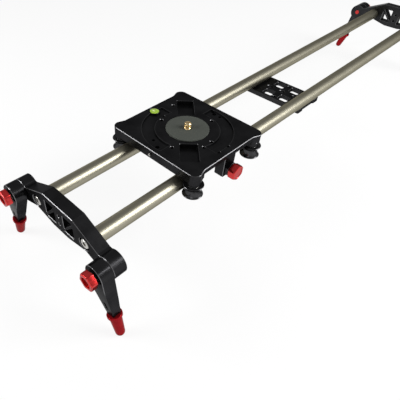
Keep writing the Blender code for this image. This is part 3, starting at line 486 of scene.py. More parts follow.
def end_frame(far):
    """The frame of an end: its bracket's face at x = 0, the leg side at -x."""
    here = at(-BRACKET_FACE, 0, AXIS_Z)
    return turned(math.pi, "Z") @ here if far else here


def leg_frame(far, side, splay, data):
    """The frame of a leg: its pivot at the origin, the arm hanging down."""
    return end_frame(far) @ at(0, side * data.pivot_y, -data.pivot_drop) @ turned(side * splay, "X")


# Materials


class Nodes:
    """A short way to build a node tree."""

    def __init__(self, tree):
        self.tree = tree

    def put(self, socket, value):
        """Gives an input a value, or links another node's output to it."""
        if isinstance(value, bpy.types.NodeSocket):
            self.tree.links.new(value, socket)
        elif socket.type == "RGBA":
            socket.default_value = (*value, 1.0)
        else:
            socket.default_value = value

    def add(self, kind, inputs=None, **settings):
        node = self.tree.nodes.new(kind)
        for key, value in settings.items():
            setattr(node, key, value)
        for key, value in (inputs or {}).items():
            self.put(node.inputs[key], value)
        return node

    def math(self, operation, a, b=None):
        inputs = {0: a} if b is None else {0: a, 1: b}
        return self.add("ShaderNodeMath", inputs, operation=operation).outputs[0]

    def noise(self, place, scale, detail=4.0, roughness=0.5, stretch=None):
        if stretch:
            place = self.add("ShaderNodeMapping", {"Vector": place, "Scale": stretch}).outputs["Vector"]
        inputs = {"Vector": place, "Scale": scale, "Detail": detail, "Roughness": roughness}
        return self.add("ShaderNodeTexNoise", inputs).outputs["Fac"]

    def spread(self, value, low, high, start=0.3, end=0.7):
        inputs = {"Value": value, "From Min": start, "From Max": end, "To Min": low, "To Max": high}
        return self.add("ShaderNodeMapRange", inputs).outputs["Result"]

    def mixed(self, factor, a, b):
        return self.add("ShaderNodeMix", {0: factor, 6: a, 7: b}, data_type="RGBA").outputs[2]

    def tone(self, noise, base, tints):
        """The base colour between its two tints, as the noise says."""
        return self.mixed(self.spread(noise, 0.0, 1.0), tinted(base, tints[0]), tinted(base, tints[1]))

    def xyz(self, **parts):
        return self.add("ShaderNodeCombineXYZ", parts).outputs[0]

    def blended(self, factor, a, b, output):
        """Mixes two shaders into an output."""
        mix = self.add("ShaderNodeMixShader", {0: factor, 1: a, 2: b})
        self.put(output.inputs["Surface"], mix.outputs[0])


def tinted(base, factor):
    return tuple(min(1.0, c * factor) for c in base)


def started(name, base, roughness, metallic, shine=None):
    """A new material with its constants, and what its nodes need."""
    material = bpy.data.materials.new(name)
    material.use_nodes = True
    material.diffuse_color = (*base, 1.0)
    nodes = Nodes(material.node_tree)
    shader = material.node_tree.nodes["Principled BSDF"]
    inputs = {"Base Color": base, "Roughness": roughness, "Metallic": metallic, **(shine or {})}
    for label, value in inputs.items():
        nodes.put(shader.inputs[label], value)
    return material, nodes, shader, nodes.add("ShaderNodeTexCoord").outputs["Object"]


def dressed(nodes, shader, tone, rough, relief=None):
    nodes.put(shader.inputs["Base Color"], tone)
    nodes.put(shader.inputs["Roughness"], rough)
    if relief:
        height, strength, distance = relief
        bump = nodes.add("ShaderNodeBump", {"Height": height, "Strength": strength, "Distance": distance})
        nodes.put(shader.inputs["Normal"], bump.outputs["Normal"])


def shiny(tint=None, level=None, coat=None, coat_roughness=None):
    """The shader's inputs for edge tint, specular level and coat, as far as they are given."""
    inputs = {"Specular Tint": tint, "Specular IOR Level": level}
    inputs.update({"Coat Weight": coat, "Coat Roughness": coat_roughness})
    return {label: value for label, value in inputs.items() if value is not None}


def grained(settings, name, colour, plain, metallic, cloud, tints, rough, relief=None, shine=None, lined=False):
    """A material whose tone and roughness follow one noise, and its relief the same or another one.

    The colour is a setting's name or a value. Where it is lined, the roughness follows the relief."""
    base = tuple(getattr(settings, colour) if isinstance(colour, str) else colour)
    material, nodes, shader, place = started(name, base, plain, metallic, shine)
    noise = height = nodes.noise(place, *cloud)
    if relief:
        height = nodes.noise(place, *relief[0]) if relief[0] else noise
        relief = (height, *relief[1:])
    rough = nodes.spread(height if lined else noise, *rough)
    dressed(nodes, shader, nodes.tone(noise, base, tints), rough, relief)
    return material


# Edge tints that keep dark metal deep, the bare metal of cut chamfers, lightened as a painted highlight, and
# the depth of a fine relief
DEEP = (0.3, 0.3, 0.3)
BLACK_DEEP = (0.4, 0.4, 0.4)
BARE_METAL_HIGHLIGHT = (0.42, 0.42, 0.43)
SHALLOW = 0.00002


def anodised_black(settings, name="anodised_black", painted_lift=1.0, smooth=0.0):
    """Bead-blasted black anodising: deep, satin, with chamfers worn to bare metal and painted bright as edge
    highlights.
    """
    # A lift above 1 brightens the black as painted light, for the legs' lit copy
    base = tinted(settings.black, painted_lift)
    material, nodes, shader, place = started(name, base, 0.3, 0.9, shiny(BLACK_DEEP, 0.05))
    cloud = nodes.noise(place, 38.0, 5.0, 0.6)
    grain = nodes.noise(place, 5200.0, 2.0, 0.6)
    worn = nodes.noise(place, 210.0, 6.0, 0.65)
    cut = nodes.add("ShaderNodeAttribute", attribute_name="chamfer").outputs["Fac"]
    # Bare metal on the marked chamfers: partly wear, partly a painted highlight along the edges
    bare_and_highlight = nodes.math("MULTIPLY", nodes.math("MULTIPLY", cut, nodes.spread(worn, 0.6, 1.0)), settings.wear_and_highlight)
    rough = nodes.spread(cloud, 0.25 - smooth, 0.34 - smooth)
    satin = nodes.math("SUBTRACT", rough, nodes.math("MULTIPLY", bare_and_highlight, 0.12))
    tone = nodes.mixed(bare_and_highlight, nodes.tone(cloud, base, (0.8, 1.3)), BARE_METAL_HIGHLIGHT)
    dressed(nodes, shader, tone, satin, (grain, 0.08, SHALLOW))
    return material


def anodised_arm(settings):
    """The smoother black of the legs, its colour lifted as painted light."""
    return anodised_black(settings, "anodised_arm", 1.15, 0.1)


def brushed_ring(settings):
    """The tension ring, brushed in circles about its own middle."""
    base = tuple(settings.steel)
    material, nodes, shader, place = started("brushed_ring", base, 0.33, 1.0)
    shift = nodes.add("ShaderNodeMapping", {"Vector": place, "Location": (-CARRIAGE_X, 0.0, 0.0)})
    inputs = {0: shift.outputs["Vector"], 1: (1.0, 1.0, 0.0)}
    flat = nodes.add("ShaderNodeVectorMath", inputs, operation="MULTIPLY")
    radius = nodes.add("ShaderNodeVectorMath", {0: flat.outputs[0]}, operation="LENGTH")
    inputs = {"Scale": 5200.0, "Detail": 3.0, "W": radius.outputs["Value"]}
    brush = nodes.add("ShaderNodeTexNoise", inputs, noise_dimensions="1D").outputs["Fac"]
    rough = nodes.spread(brush, 0.28, 0.42)
    dressed(nodes, shader, nodes.tone(brush, base, (0.88, 1.12)), rough, (brush, 0.2, 0.00003))
    return material


def pad_rubber(settings):
    """Matt pressed rubber with a fine cork-like grain."""
    base = tuple(settings.rubber)
    material, nodes, shader, place = started("pad_rubber", base, 0.8, 0.0, shiny(level=0.3))
    crumbs = nodes.add("ShaderNodeTexVoronoi", {"Vector": place, "Scale": 900.0}).outputs["Distance"]
    grain = nodes.noise(place, 1500.0, 4.0, 0.7)
    cloud = nodes.noise(place, 45.0, 3.0, 0.5)
    tone = nodes.tone(grain, base, (0.72, 1.35))
    tone = nodes.mixed(nodes.spread(cloud, 0.0, 0.35), tone, tinted(base, 1.25))
    height = nodes.math("ADD", nodes.math("MULTIPLY", crumbs, 0.6), grain)
    dressed(nodes, shader, tone, nodes.spread(grain, 0.7, 0.9), (height, 0.35, 0.00006))
    return material


FINISHES = {}
MAKERS = {"black": anodised_black, "arm": anodised_arm, "ring": brushed_ring, "rubber": pad_rubber}
# Glossy red anodising over turned and milled aluminium, of the knobs and the feet
RED = (120.0, 4.0, 0.6), (0.86, 1.1), (0.17, 0.28), ((3000.0, 2.0, 0.5), 0.15, SHALLOW)
# Marks of rolling wheels that run along the rails, and turning marks round the wheels
ALONG = ((2600.0, 3.0, 0.6, (0.02, 1.0, 1.0)), 0.015, SHALLOW)
AROUND = ((4200.0, 2.0, 0.5, (0.05, 0.05, 1.0)), 0.12, SHALLOW)
# What grained takes: name, colour, plain roughness, metallic, cloud, tints, roughness, relief and shine
GRAINED = {
    "red": ("anodised_red", "red", 0.22, 0.8, *RED, shiny(DEEP, 0.45, 0.45, 0.10)),
    # The feet take a darker copy of the red anodising, as painted shade
    "foot": ("anodised_foot", "foot_red", 0.22, 0.5, *RED, shiny(DEEP, 0.06, 0.06, 0.10)),
    "rail": (
        "rail_titanium", "titanium", 0.50, 1.0, (24.0, 4.0, 0.55), (0.93, 1.07), (0.37, 0.40),
        ALONG, shiny((0.35, 0.34, 0.31)), True,
    ),
    "steel": (
        "stainless", "steel", 0.24, 1.0, (300.0, 4.0, 0.6), (0.85, 1.1), (0.18, 0.32),
        ((2500.0,), 0.12, SHALLOW),
    ),
    "brass": ("turned_brass", "brass", 0.2, 1.0, (420.0, 4.0, 0.6), (0.8, 1.15), (0.16, 0.3)),
    "wheel": (
        "wheel_polymer", (0.044, 0.044, 0.046), 0.2, 0.85, (160.0, 4.0, 0.6), (0.8, 1.6), (0.12, 0.22),
        AROUND, shiny(DEEP, 0.1),
    ),
    "nylon": (
        "black_nylon", (0.03, 0.03, 0.032), 0.5, 0.0, (1800.0, 3.0, 0.6), (0.8, 1.3), (0.42, 0.58),
        (None, 0.2, 0.00003),
    ),
    "liquid": (
        "level_liquid", "liquid", 0.08, 0.0, (260.0, 3.0, 0.5), (0.82, 1.15), (0.05, 0.1),
        None, shiny(coat=0.8, coat_roughness=0.03),
    ),
    "bubble": ("level_bubble", (0.62, 0.75, 0.30), 0.08, 0.0, (500.0,), (0.94, 1.0), (0.05, 0.12)),
}


def finish(name):
    """The material of that name, made the first time it is asked for."""
    if name not in FINISHES:
        settings = bpy.context.scene.slider_finish
        FINISHES[name] = MAKERS[name](settings) if name in MAKERS else grained(settings, *GRAINED[name])
    return FINISHES[name]


# Geometry nodes for what repeats

WELD = 0.000005
# How much of a screw's head its key hole goes through
KEY_DEPTH = 0.55


def lathe_nodes(nodes, sides, profile):
    """A solid turned about Z inside a tree: each span between two profile points is a rolled-up grid."""
    spans = []
    for (radius_a, z_a), (radius_b, z_b) in zip(profile, profile[1:]):
        cells = {"Size X": 1.0, "Size Y": 1.0, "Vertices X": nodes.math("ADD", sides, 1.0), "Vertices Y": 2}
        grid = nodes.add("GeometryNodeMeshGrid", cells)
        position = nodes.add("GeometryNodeInputPosition").outputs[0]
        parts = nodes.add("ShaderNodeSeparateXYZ", {0: position}).outputs
        angle = nodes.math("MULTIPLY", nodes.math("ADD", parts["X"], 0.5), math.tau)
        share = nodes.math("ADD", parts["Y"], 0.5)
        rest = nodes.math("SUBTRACT", 1.0, share)
        radius, z = (
            nodes.math("ADD", nodes.math("MULTIPLY", a, rest), nodes.math("MULTIPLY", b, share))
            for a, b in ((radius_a, radius_b), (z_a, z_b))
        )
        x, y = (nodes.math("MULTIPLY", radius, nodes.math(wave, angle)) for wave in ("COSINE", "SINE"))
        inputs = {"Geometry": grid.outputs["Mesh"], "Position": nodes.xyz(X=x, Y=y, Z=z)}
        spans.append(nodes.add("GeometryNodeSetPosition", inputs).outputs["Geometry"])
    return spans


def flat_face(nodes, z, *rings):
    """A face at a height between circles, each given by its radius and sides."""
    join = nodes.add("GeometryNodeJoinGeometry")
    for radius, sides in rings:
        circle = nodes.add("GeometryNodeCurvePrimitiveCircle", {"Resolution": sides, "Radius": radius})
        nodes.put(join.inputs["Geometry"], circle.outputs["Curve"])
    mode = "TRIANGLES" if len(rings) > 1 else "NGONS"
    fill = nodes.add("GeometryNodeFillCurve", {"Curve": join.outputs["Geometry"]}, mode=mode)
    inputs = {"Geometry": fill.outputs["Mesh"], "Translation": nodes.xyz(Z=z)}
    return nodes.add("GeometryNodeTransform", inputs).outputs["Geometry"]


def socket_screw(nodes, get):
    """A cap screw: chamfered head with a hex key hole, and a shank."""
    zero = nodes.math("MULTIPLY", get["Head radius"], 0.0)
    top, key = get["Head height"], get["Key radius"]
    shoulder = nodes.math("SUBTRACT", top, get["Chamfer"])
    face = nodes.math("SUBTRACT", get["Head radius"], get["Chamfer"])
    end = nodes.math("MULTIPLY", get["Shank length"], -1.0)
    floor = nodes.math("MULTIPLY", top, 1 - KEY_DEPTH)
    profile = [(zero, end), (get["Shank radius"], end), (get["Shank radius"], zero)]
    profile += [(get["Head radius"], zero), (get["Head radius"], shoulder), (face, top)]
    pieces = lathe_nodes(nodes, get["Sides"], profile)
    pieces += [flat_face(nodes, top, (face, 48), (key, 6)), flat_face(nodes, floor, (key, 6))]
    six = nodes.add("FunctionNodeInputInt", integer=6).outputs[0]
    return pieces + lathe_nodes(nodes, six, [(key, floor), (key, top)])


def washer(nodes, get):
    """A flat ring with chamfered outer edges."""
    outer, inner, top, chamfer = get["Outer radius"], get["Inner radius"], get["Thickness"], get["Chamfer"]
    zero = nodes.math("MULTIPLY", outer, 0.0)
    face = nodes.math("SUBTRACT", outer, chamfer)
    profile = [(inner, zero), (face, zero), (outer, chamfer), (outer, nodes.math("SUBTRACT", top, chamfer))]
    return lathe_nodes(nodes, get["Sides"], profile + [(face, top), (inner, top), (inner, zero)])


def screw_thread(nodes, get):
    """A screw thread's ridge that winds up about Z."""
    turns = nodes.math("DIVIDE", get["Length"], get["Pitch"])
    inputs = {"Resolution": 40, "Rotations": turns, "Height": get["Length"]}
    inputs.update({"Start Radius": get["Radius"], "End Radius": get["Radius"]})
    spiral = nodes.add("GeometryNodeCurveSpiral", inputs)
    ridge = nodes.add("GeometryNodeCurvePrimitiveCircle", {"Resolution": 4, "Radius": get["Ridge"]})
    inputs = {"Fill Caps": True, "Curve": spiral.outputs["Curve"], "Profile Curve": ridge.outputs["Curve"]}
    return [nodes.add("GeometryNodeCurveToMesh", inputs).outputs["Mesh"]]


HEAD = {"Head radius": 0.004, "Head height": 0.003, "Key radius": 0.002, "Shank radius": 0.002}
RING = {"Outer radius": 0.005, "Inner radius": 0.003, "Thickness": 0.001}
TREES = {
    "socket_screws": (socket_screw, {**HEAD, "Chamfer": 0.0004, "Shank length": 0.006, "Sides": 48}),
    "washers": (washer, {**RING, "Chamfer": 0.0002, "Sides": 64}),
    "screw_threads": (screw_thread, {"Radius": 0.004, "Length": 0.008, "Pitch": 0.0016, "Ridge": 0.0007}),
}


def new_tree(name):
    """The tree of that name: its pieces, with their seams closed, copied onto every seat."""
    build, sizes = TREES[name]
    tree = bpy.data.node_groups.new(name, "GeometryNodeTree")
    sockets = [("Geometry", "INPUT", "Geometry"), ("Geometry", "OUTPUT", "Geometry")]
    sockets += [(label, "INPUT", "Int" if label == "Sides" else "Float") for label in sizes]
    for label, way, kind in sockets + [("Material", "INPUT", "Material")]:
        socket = tree.interface.new_socket(name=label, in_out=way, socket_type=f"NodeSocket{kind}")
        if label in sizes:
            socket.default_value = sizes[label]
    nodes = Nodes(tree)
    get = nodes.add("NodeGroupInput").outputs
    join = nodes.add("GeometryNodeJoinGeometry")
    for piece in build(nodes, get):
        nodes.put(join.inputs["Geometry"], piece)
    weld = nodes.add("GeometryNodeMergeByDistance", {"Geometry": join.outputs["Geometry"], "Distance": WELD})
    turn = nodes.add("GeometryNodeInputNamedAttribute", {"Name": "turn"}, data_type="FLOAT_VECTOR")
    euler = nodes.add("FunctionNodeEulerToRotation", {0: turn.outputs["Attribute"]})
    seats = {"Points": get["Geometry"], "Instance": weld.outputs["Geometry"], "Rotation": euler.outputs[0]}
    copies = nodes.add("GeometryNodeInstanceOnPoints", seats)
    real = nodes.add("GeometryNodeRealizeInstances", {"Geometry": copies.outputs["Instances"]})
    inputs = {"Geometry": real.outputs["Geometry"], "Material": get["Material"]}
    paint = nodes.add("GeometryNodeSetMaterial", inputs)
    nodes.add("NodeGroupOutput", {"Geometry": paint.outputs["Geometry"]})
    return tree


def repeated(name, seats, material, *sizes):
    """Runs a tree on the seats, which are matrices, and returns the plain mesh.

    The sizes come in the order of the tree's sockets; those left out keep their defaults."""
    mesh = bpy.data.meshes.new("seats")
    mesh.from_pydata([tuple(seat.to_translation()) for seat in seats], [], [])
    turn = mesh.attributes.new("turn", "FLOAT_VECTOR", "POINT")
    for item, seat in zip(turn.data, seats):
        item.vector = seat.to_euler()
    holder = placed("seats", mesh)
    modifier = holder.modifiers.new(name, "NODES")
    modifier.node_group = bpy.data.node_groups.get(name) or new_tree(name)
    values = {**dict(zip(TREES[name][1], sizes)), "Material": finish(material)}
    for item in modifier.node_group.interface.items_tree:
        if item.in_out == "INPUT" and item.socket_type != "NodeSocketGeometry":
            modifier[item.identifier] = values[item.name] if item.name in values else item.default_value
    result = evaluated(holder)
    bm = bmesh.new()
    bm.from_mesh(result)
    bmesh.ops.recalc_face_normals(bm, faces=bm.faces)
    bm.to_mesh(result)
    bm.free()
    return result


def washers(seats, outer, inner, thickness, material="steel", chamfer=0.0002):
    return repeated("washers", seats, material, outer, inner, thickness, chamfer)


# Each kind of screw: head radius, head height, key radius, shank radius and chamfer
RAIL_SCREW = (0.0064, 0.0038, 0.0031, 0.0038, 0.0006)
PLATE_SCREW = (0.0043, 0.0036, 0.0022, 0.0023, 0.0004)
AXLE_SCREW = (0.0048, 0.0027, 0.0021, 0.0025, 0.0009)
CLAMP_SCREW = (0.0040, 0.0022, 0.0017, 0.0020, 0.0007)


def numbered(label, count):
    return [f"{label}_{n}" for n in range(1, count + 1)]


def foot_of(node, rise=0.0):
    """The middle of a node's underside, or a rise above it."""
    spot = middle(node)
    return at(spot.x, spot.y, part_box(node)[0].z + rise)


def hanging_screws(label, count, body, kind, length):
    """Screws with their heads down, each where its node has it."""
    nodes = numbered(label, count)
    seats = [foot_of(node, kind[1]) @ turned(math.pi, "X") for node in nodes]
    heads = repeated("socket_screws", seats, "steel", *kind, length)
    add_piece(f"{label}s_set", heads, None, body, nodes)


# Pieces

BOLT_BORE = 0.0043
SHANK_BORE = 0.0026
# Places on the carriage plate, from its middle
LEVEL_SPOT = (-0.0020, 0.0615)
SMALL_HOLES = [
    (-0.011, 0.0385), (-0.001, 0.044), (0.0288, 0.0538), (0.0597, 0.0048), (0.0572, -0.010),
    (0.039, -0.0102), (0.0009, -0.0416), (0.0097, -0.062), (-0.0088, -0.0619), (-0.0152, -0.0426),
    (-0.0455, -0.0149), (-0.050, 0.0144),
]
# Swaps x and z
SIDEWAYS = Matrix(((0, 0, 1, 0), (0, 1, 0, 0), (1, 0, 0, 0), (0, 0, 0, 1)))


class SLIDER_OT_rails(bpy.types.Operator):
    """Build the two rails"""

    bl_idname = "slider.rails"
    bl_label = "Rails"

    def execute(self, context):
        facets = context.scene.slider_finish.facets
        hole_x = abs(middle("plate_screw_1").x)
        bore = RAIL_RADIUS - context.scene.slider_frame.wall
        plug, edge = 0.024, 0.0005
        half = [(bore, RAIL_HALF - plug), (BOLT_BORE, RAIL_HALF - plug), (BOLT_BORE, RAIL_HALF)]
        half += [(RAIL_RADIUS - edge, RAIL_HALF), (RAIL_RADIUS, RAIL_HALF - edge)]
        for node, side in (("rail_left", 1), ("rail_right", -1)):
            tube = lathe(mirrored(half, y=-1), facets, ring=True)
            moved(tube, at(0, side * RAIL_Y, AXIS_Z) @ turned(math.pi / 2, "Y"))
            seats = [at(x, side * RAIL_Y, AXIS_Z - RAIL_RADIUS) for x in (-hole_x, hole_x)]
            holes = [moved(rod(SHANK_BORE, -0.006, 0.006, 32), seat) for seat in seats]
            add_piece(f"{node}_tube", shaped(tube, holes), "rail", "frame", [node])
        return {"FINISHED"}


def bracket_loop(data, steps=40):
    """The arched outline seen along the rails, with a round boss at each end."""
    pivot = Vector((data.pivot_y, -data.pivot_drop))
    hip = Vector((RAIL_Y + data.hip_out, -data.hip_drop))
    reach = pivot - hip
    underside = math.atan2(reach.y, reach.x) - math.asin(data.boss / reach.length)
    boss = arc(pivot, data.boss, math.radians(130), underside - math.pi / 2, steps)
    notch = (boss[0][0] - data.notch, boss[0][1])
    shoulder = [(0.0, data.crown_rise), (data.crown_half, data.crown_rise), notch, boss[0]]
    belly = [boss[-1], tuple(hip), (data.keel_half, -data.keel_drop), (0.0, -data.keel_drop)]
    half = soft_profile(shoulder, [0, 0.0030, 0.0060, 0], 6)[1:-1] + boss
    return mirrored(half + soft_profile(belly, [0, 0.0040, 0.0030, 0], 6)[1:-1], x=-1)


def window_loops(data):
    """Two triangular windows on each side of the middle, with a slanted rib between them."""
    loops = []
    top, bottom = data.window_top, -data.window_bottom
    for centre in (-data.window_place, data.window_place):
        inner, outer = centre - data.window_half, centre + data.window_half
        upper = [(outer, top), (inner, top), (outer, bottom + data.rib_low)]
        lower = [(inner, top - data.rib_high), (inner, bottom), (outer, bottom)]
        loops += [rounded(corners, 0.0008, 5) for corners in (upper, lower)]
    return loops


class SLIDER_OT_brackets(bpy.types.Operator):
    """Build the two arched end brackets"""

    bl_idname = "slider.brackets"
    bl_label = "End brackets"

    def execute(self, context):
        data = context.scene.slider_frame
        edge = context.scene.slider_finish.edge
        depth = BRACKET_FACE - BRACKET_BACK
        openings = [(loop, edge) for loop in window_loops(data)]
        openings += [(ring_loop(0.0021, 32, (0, height)), 0.0006) for height in (0.0085, -0.0040)]
        cuts = []
        for side in (-1, 1):
            rail, pivot = (side * RAIL_Y, 0), (side * data.pivot_y, -data.pivot_drop)
            openings.append((ring_loop(BOLT_BORE, 32, rail), FINE_EDGE))
            openings.append((ring_loop(BOLT_BORE, 48, pivot), FINE_EDGE))
            cuts.append(blind_cut(ring_loop(data.seat_radius, 64, rail), data.seat_depth, 0, edge))
        cuts += [through_cut(loop, 0, depth, rim) for loop, rim in openings]
        body = highlight_marked(shaped(plate(bracket_loop(data), 0, depth, edge), cuts))
        for far, node in ((False, "near_bracket"), (True, "far_bracket")):
            matrix = end_frame(far) @ ACROSS
            add_piece(f"{node}_arch", body.copy(), "black", "frame", [node], matrix)
        return {"FINISHED"}


class SLIDER_OT_frame_screws(bpy.types.Operator):
    """Build the flanged screws in the brackets and the socket screws in the plate below"""

    bl_idname = "slider.frame_screws"
    bl_label = "Frame screws"

    def execute(self, context):
        depth = context.scene.slider_frame.seat_depth - CLEARANCE
        turn = turned(-math.pi / 2, "Y")
        seats = [end_frame(far) @ at(depth, side * RAIL_Y, 0) @ turn for far, side in ENDS]
        flanges = washers(seats, 0.0081, 0.0038, 0.0014, chamfer=0.0003)
        heads = joined([flanges, repeated("socket_screws", seats, "steel", *RAIL_SCREW, 0.0280)])
        add_piece("rail_screws_set", heads, None, "frame", numbered("rail_screw", 4))
        hanging_screws("plate_screw", 4, "frame", PLATE_SCREW, 0.0098)
        return {"FINISHED"}


class SLIDER_OT_centre_plate(bpy.types.Operator):
    """Build the plate with windows and tripod threads under the rails"""

    bl_idname = "slider.centre_plate"
    bl_label = "Tripod plate"

    def execute(self, context):
        edge = context.scene.slider_finish.edge
        data = context.scene.slider_frame
        low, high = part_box("centre_plate")
        ear_x, step, nip = high.x - data.ear_run, 0.0018, 0.0012
        quarter = [(ear_x - step, high.y - step), (ear_x, high.y)]
        quarter += [(high.x - nip, high.y), (high.x, high.y - nip)]
        cuts = []
        for sx, sy in CORNERS:
            x, y = sx * data.opening_far_x, sy * data.opening_far_y
            dx, dy = data.opening_x / 2, data.opening_y / 2
            window = rounded(rectangle(x - dx, y - dy, x + dx, y + dy), 0.0024)
            cuts.append(through_cut(window, low.z, high.z, edge))
            cuts.append(blind_cut(grown(window, 0.0012), low.z + 0.0014, low.z, edge))
        # Radius, sides, place and rim of each hole
        holes = [(0.0031, 32, (side * data.small_thread, 0), 0.0007) for side in (-1, 1)]
        holes += [(0.0045, 48, (0, place * data.thread_pitch), 0.0008) for place in (-1, 0, 1)]
        for node in numbered("plate_screw", 4):
            spot = middle(node).xy
            holes.append((SHANK_BORE, 24, spot, 0.0002))
            cuts.append(blind_cut(ring_loop(0.0046, 48, spot), low.z + 0.0039, low.z, 0.0004))
        for radius, sides, spot, rim in holes:
            cuts.append(through_cut(ring_loop(radius, sides, spot), low.z, high.z, rim))
        body = plate(mirrored(mirrored(quarter, y=-1), x=-1), low.z, high.z, edge)
        # The painted highlight on this plate's chamfers is kept faint
        body = highlight_marked(shaped(body, cuts), 0.3)
        add_piece("tripod_plate", body, "black", "frame", ["centre_plate"])
        return {"FINISHED"}


def carriage_loop(data, steps=16):
    """The plate from above: round ears at the four corners, stepped long edges."""
    side = WHEEL_Y + data.ear - data.ear_step
    corner = [(WHEEL_X - data.ear_run, side)] + arc((WHEEL_X, WHEEL_Y), data.ear, math.pi / 2, 0, steps)
    return mirrored(mirrored(corner, y=-1), x=-1)


def arc_pocket(data):
    """A curved pocket round the pad, its two ends cut square to the plate's sides."""
    loop = []
    for radius, way, steps in ((data.arc_outer, 1, 60), (data.arc_inner, -1, 48)):
        ends = math.acos(data.arc_start / radius), math.pi + math.asin(data.arc_end / radius)
        loop += arc((0, 0), radius, *ends[::way], steps)
    return loop


class SLIDER_OT_carriage_plate(bpy.types.Operator):
    """Build the milled carriage plate with its pockets and holes"""

    bl_idname = "slider.carriage_plate"
    bl_label = "Carriage plate"

    def execute(self, context):
        data = context.scene.slider_carriage
        edge = context.scene.slider_finish.edge
        top = PLATE_TOP
        bottom = top - data.thickness
        relief_x, end_x = 0.048, 0.057
        joins, cuts = [], []
        for sx, sy in CORNERS:
            boss = ring_loop(data.ear - 0.0004, 64, (sx * WHEEL_X, sy * WHEEL_Y))
            joins.append(plate(boss, bottom - 0.0042, bottom + 0.002, edge))
        for side in (-1, 1):
            near, far = sorted((side * (RAIL_Y + RAIL_RADIUS + 0.001), side * (WHEEL_Y + 0.02)))
            relief = rounded(rectangle(-relief_x, near, relief_x, far), 0.0015, 3)
            cuts.append(prism(relief, bottom - OVERRUN, top - data.lip))
            cuts.append(through_cut(ring_loop(0.003, 32, (side * end_x, 0)), bottom, top, 0.0005))
            inwards = at(side * end_x, 0, top - data.thickness / 2) @ turned(side * math.pi / 2, "Y")
            cuts.append(moved(rod(0.0022, 0, 0.014, 24), inwards))
        half = data.pocket_half
        pocket = rounded(rectangle(data.pocket_near, -half, data.pocket_far, half), 0.002)
        for angle in (0, math.pi):
            straight, curved = swung(pocket, angle + math.pi / 4), swung(arc_pocket(data), angle)
            cuts.append(blind_cut(straight, top - data.pocket_depth, top, FINE_EDGE))
            cuts.append(blind_cut(curved, top - data.arc_depth, top, 0.0009, slope=0.35))
        # Radius, sides, place, depth and rim of each blind hole
        holes = [(data.hole, 24, spot, 0.006, 0.0007) for spot in SMALL_HOLES]
        holes.append((data.pad_radius + CLEARANCE, 96, (0, 0), 0.001, 0.0002))
        holes += [(0.0051, 48, (0, 0), 0.0085, 0.0002), (0.0085, 64, LEVEL_SPOT, 0.004, 0.0003)]
        for radius, sides, spot, depth, rim in holes:
            cuts.append(blind_cut(ring_loop(radius, sides, spot), top - depth, top, rim))
        # The painted highlight on this plate's chamfers is kept at under half
        body = highlight_marked(shaped(plate(carriage_loop(data), bottom, top, edge), cuts, joins), 0.45)
        add_piece("carriage_milled", body, "black", "carriage", ["carriage_plate"], CARRIAGE)
        return {"FINISHED"}


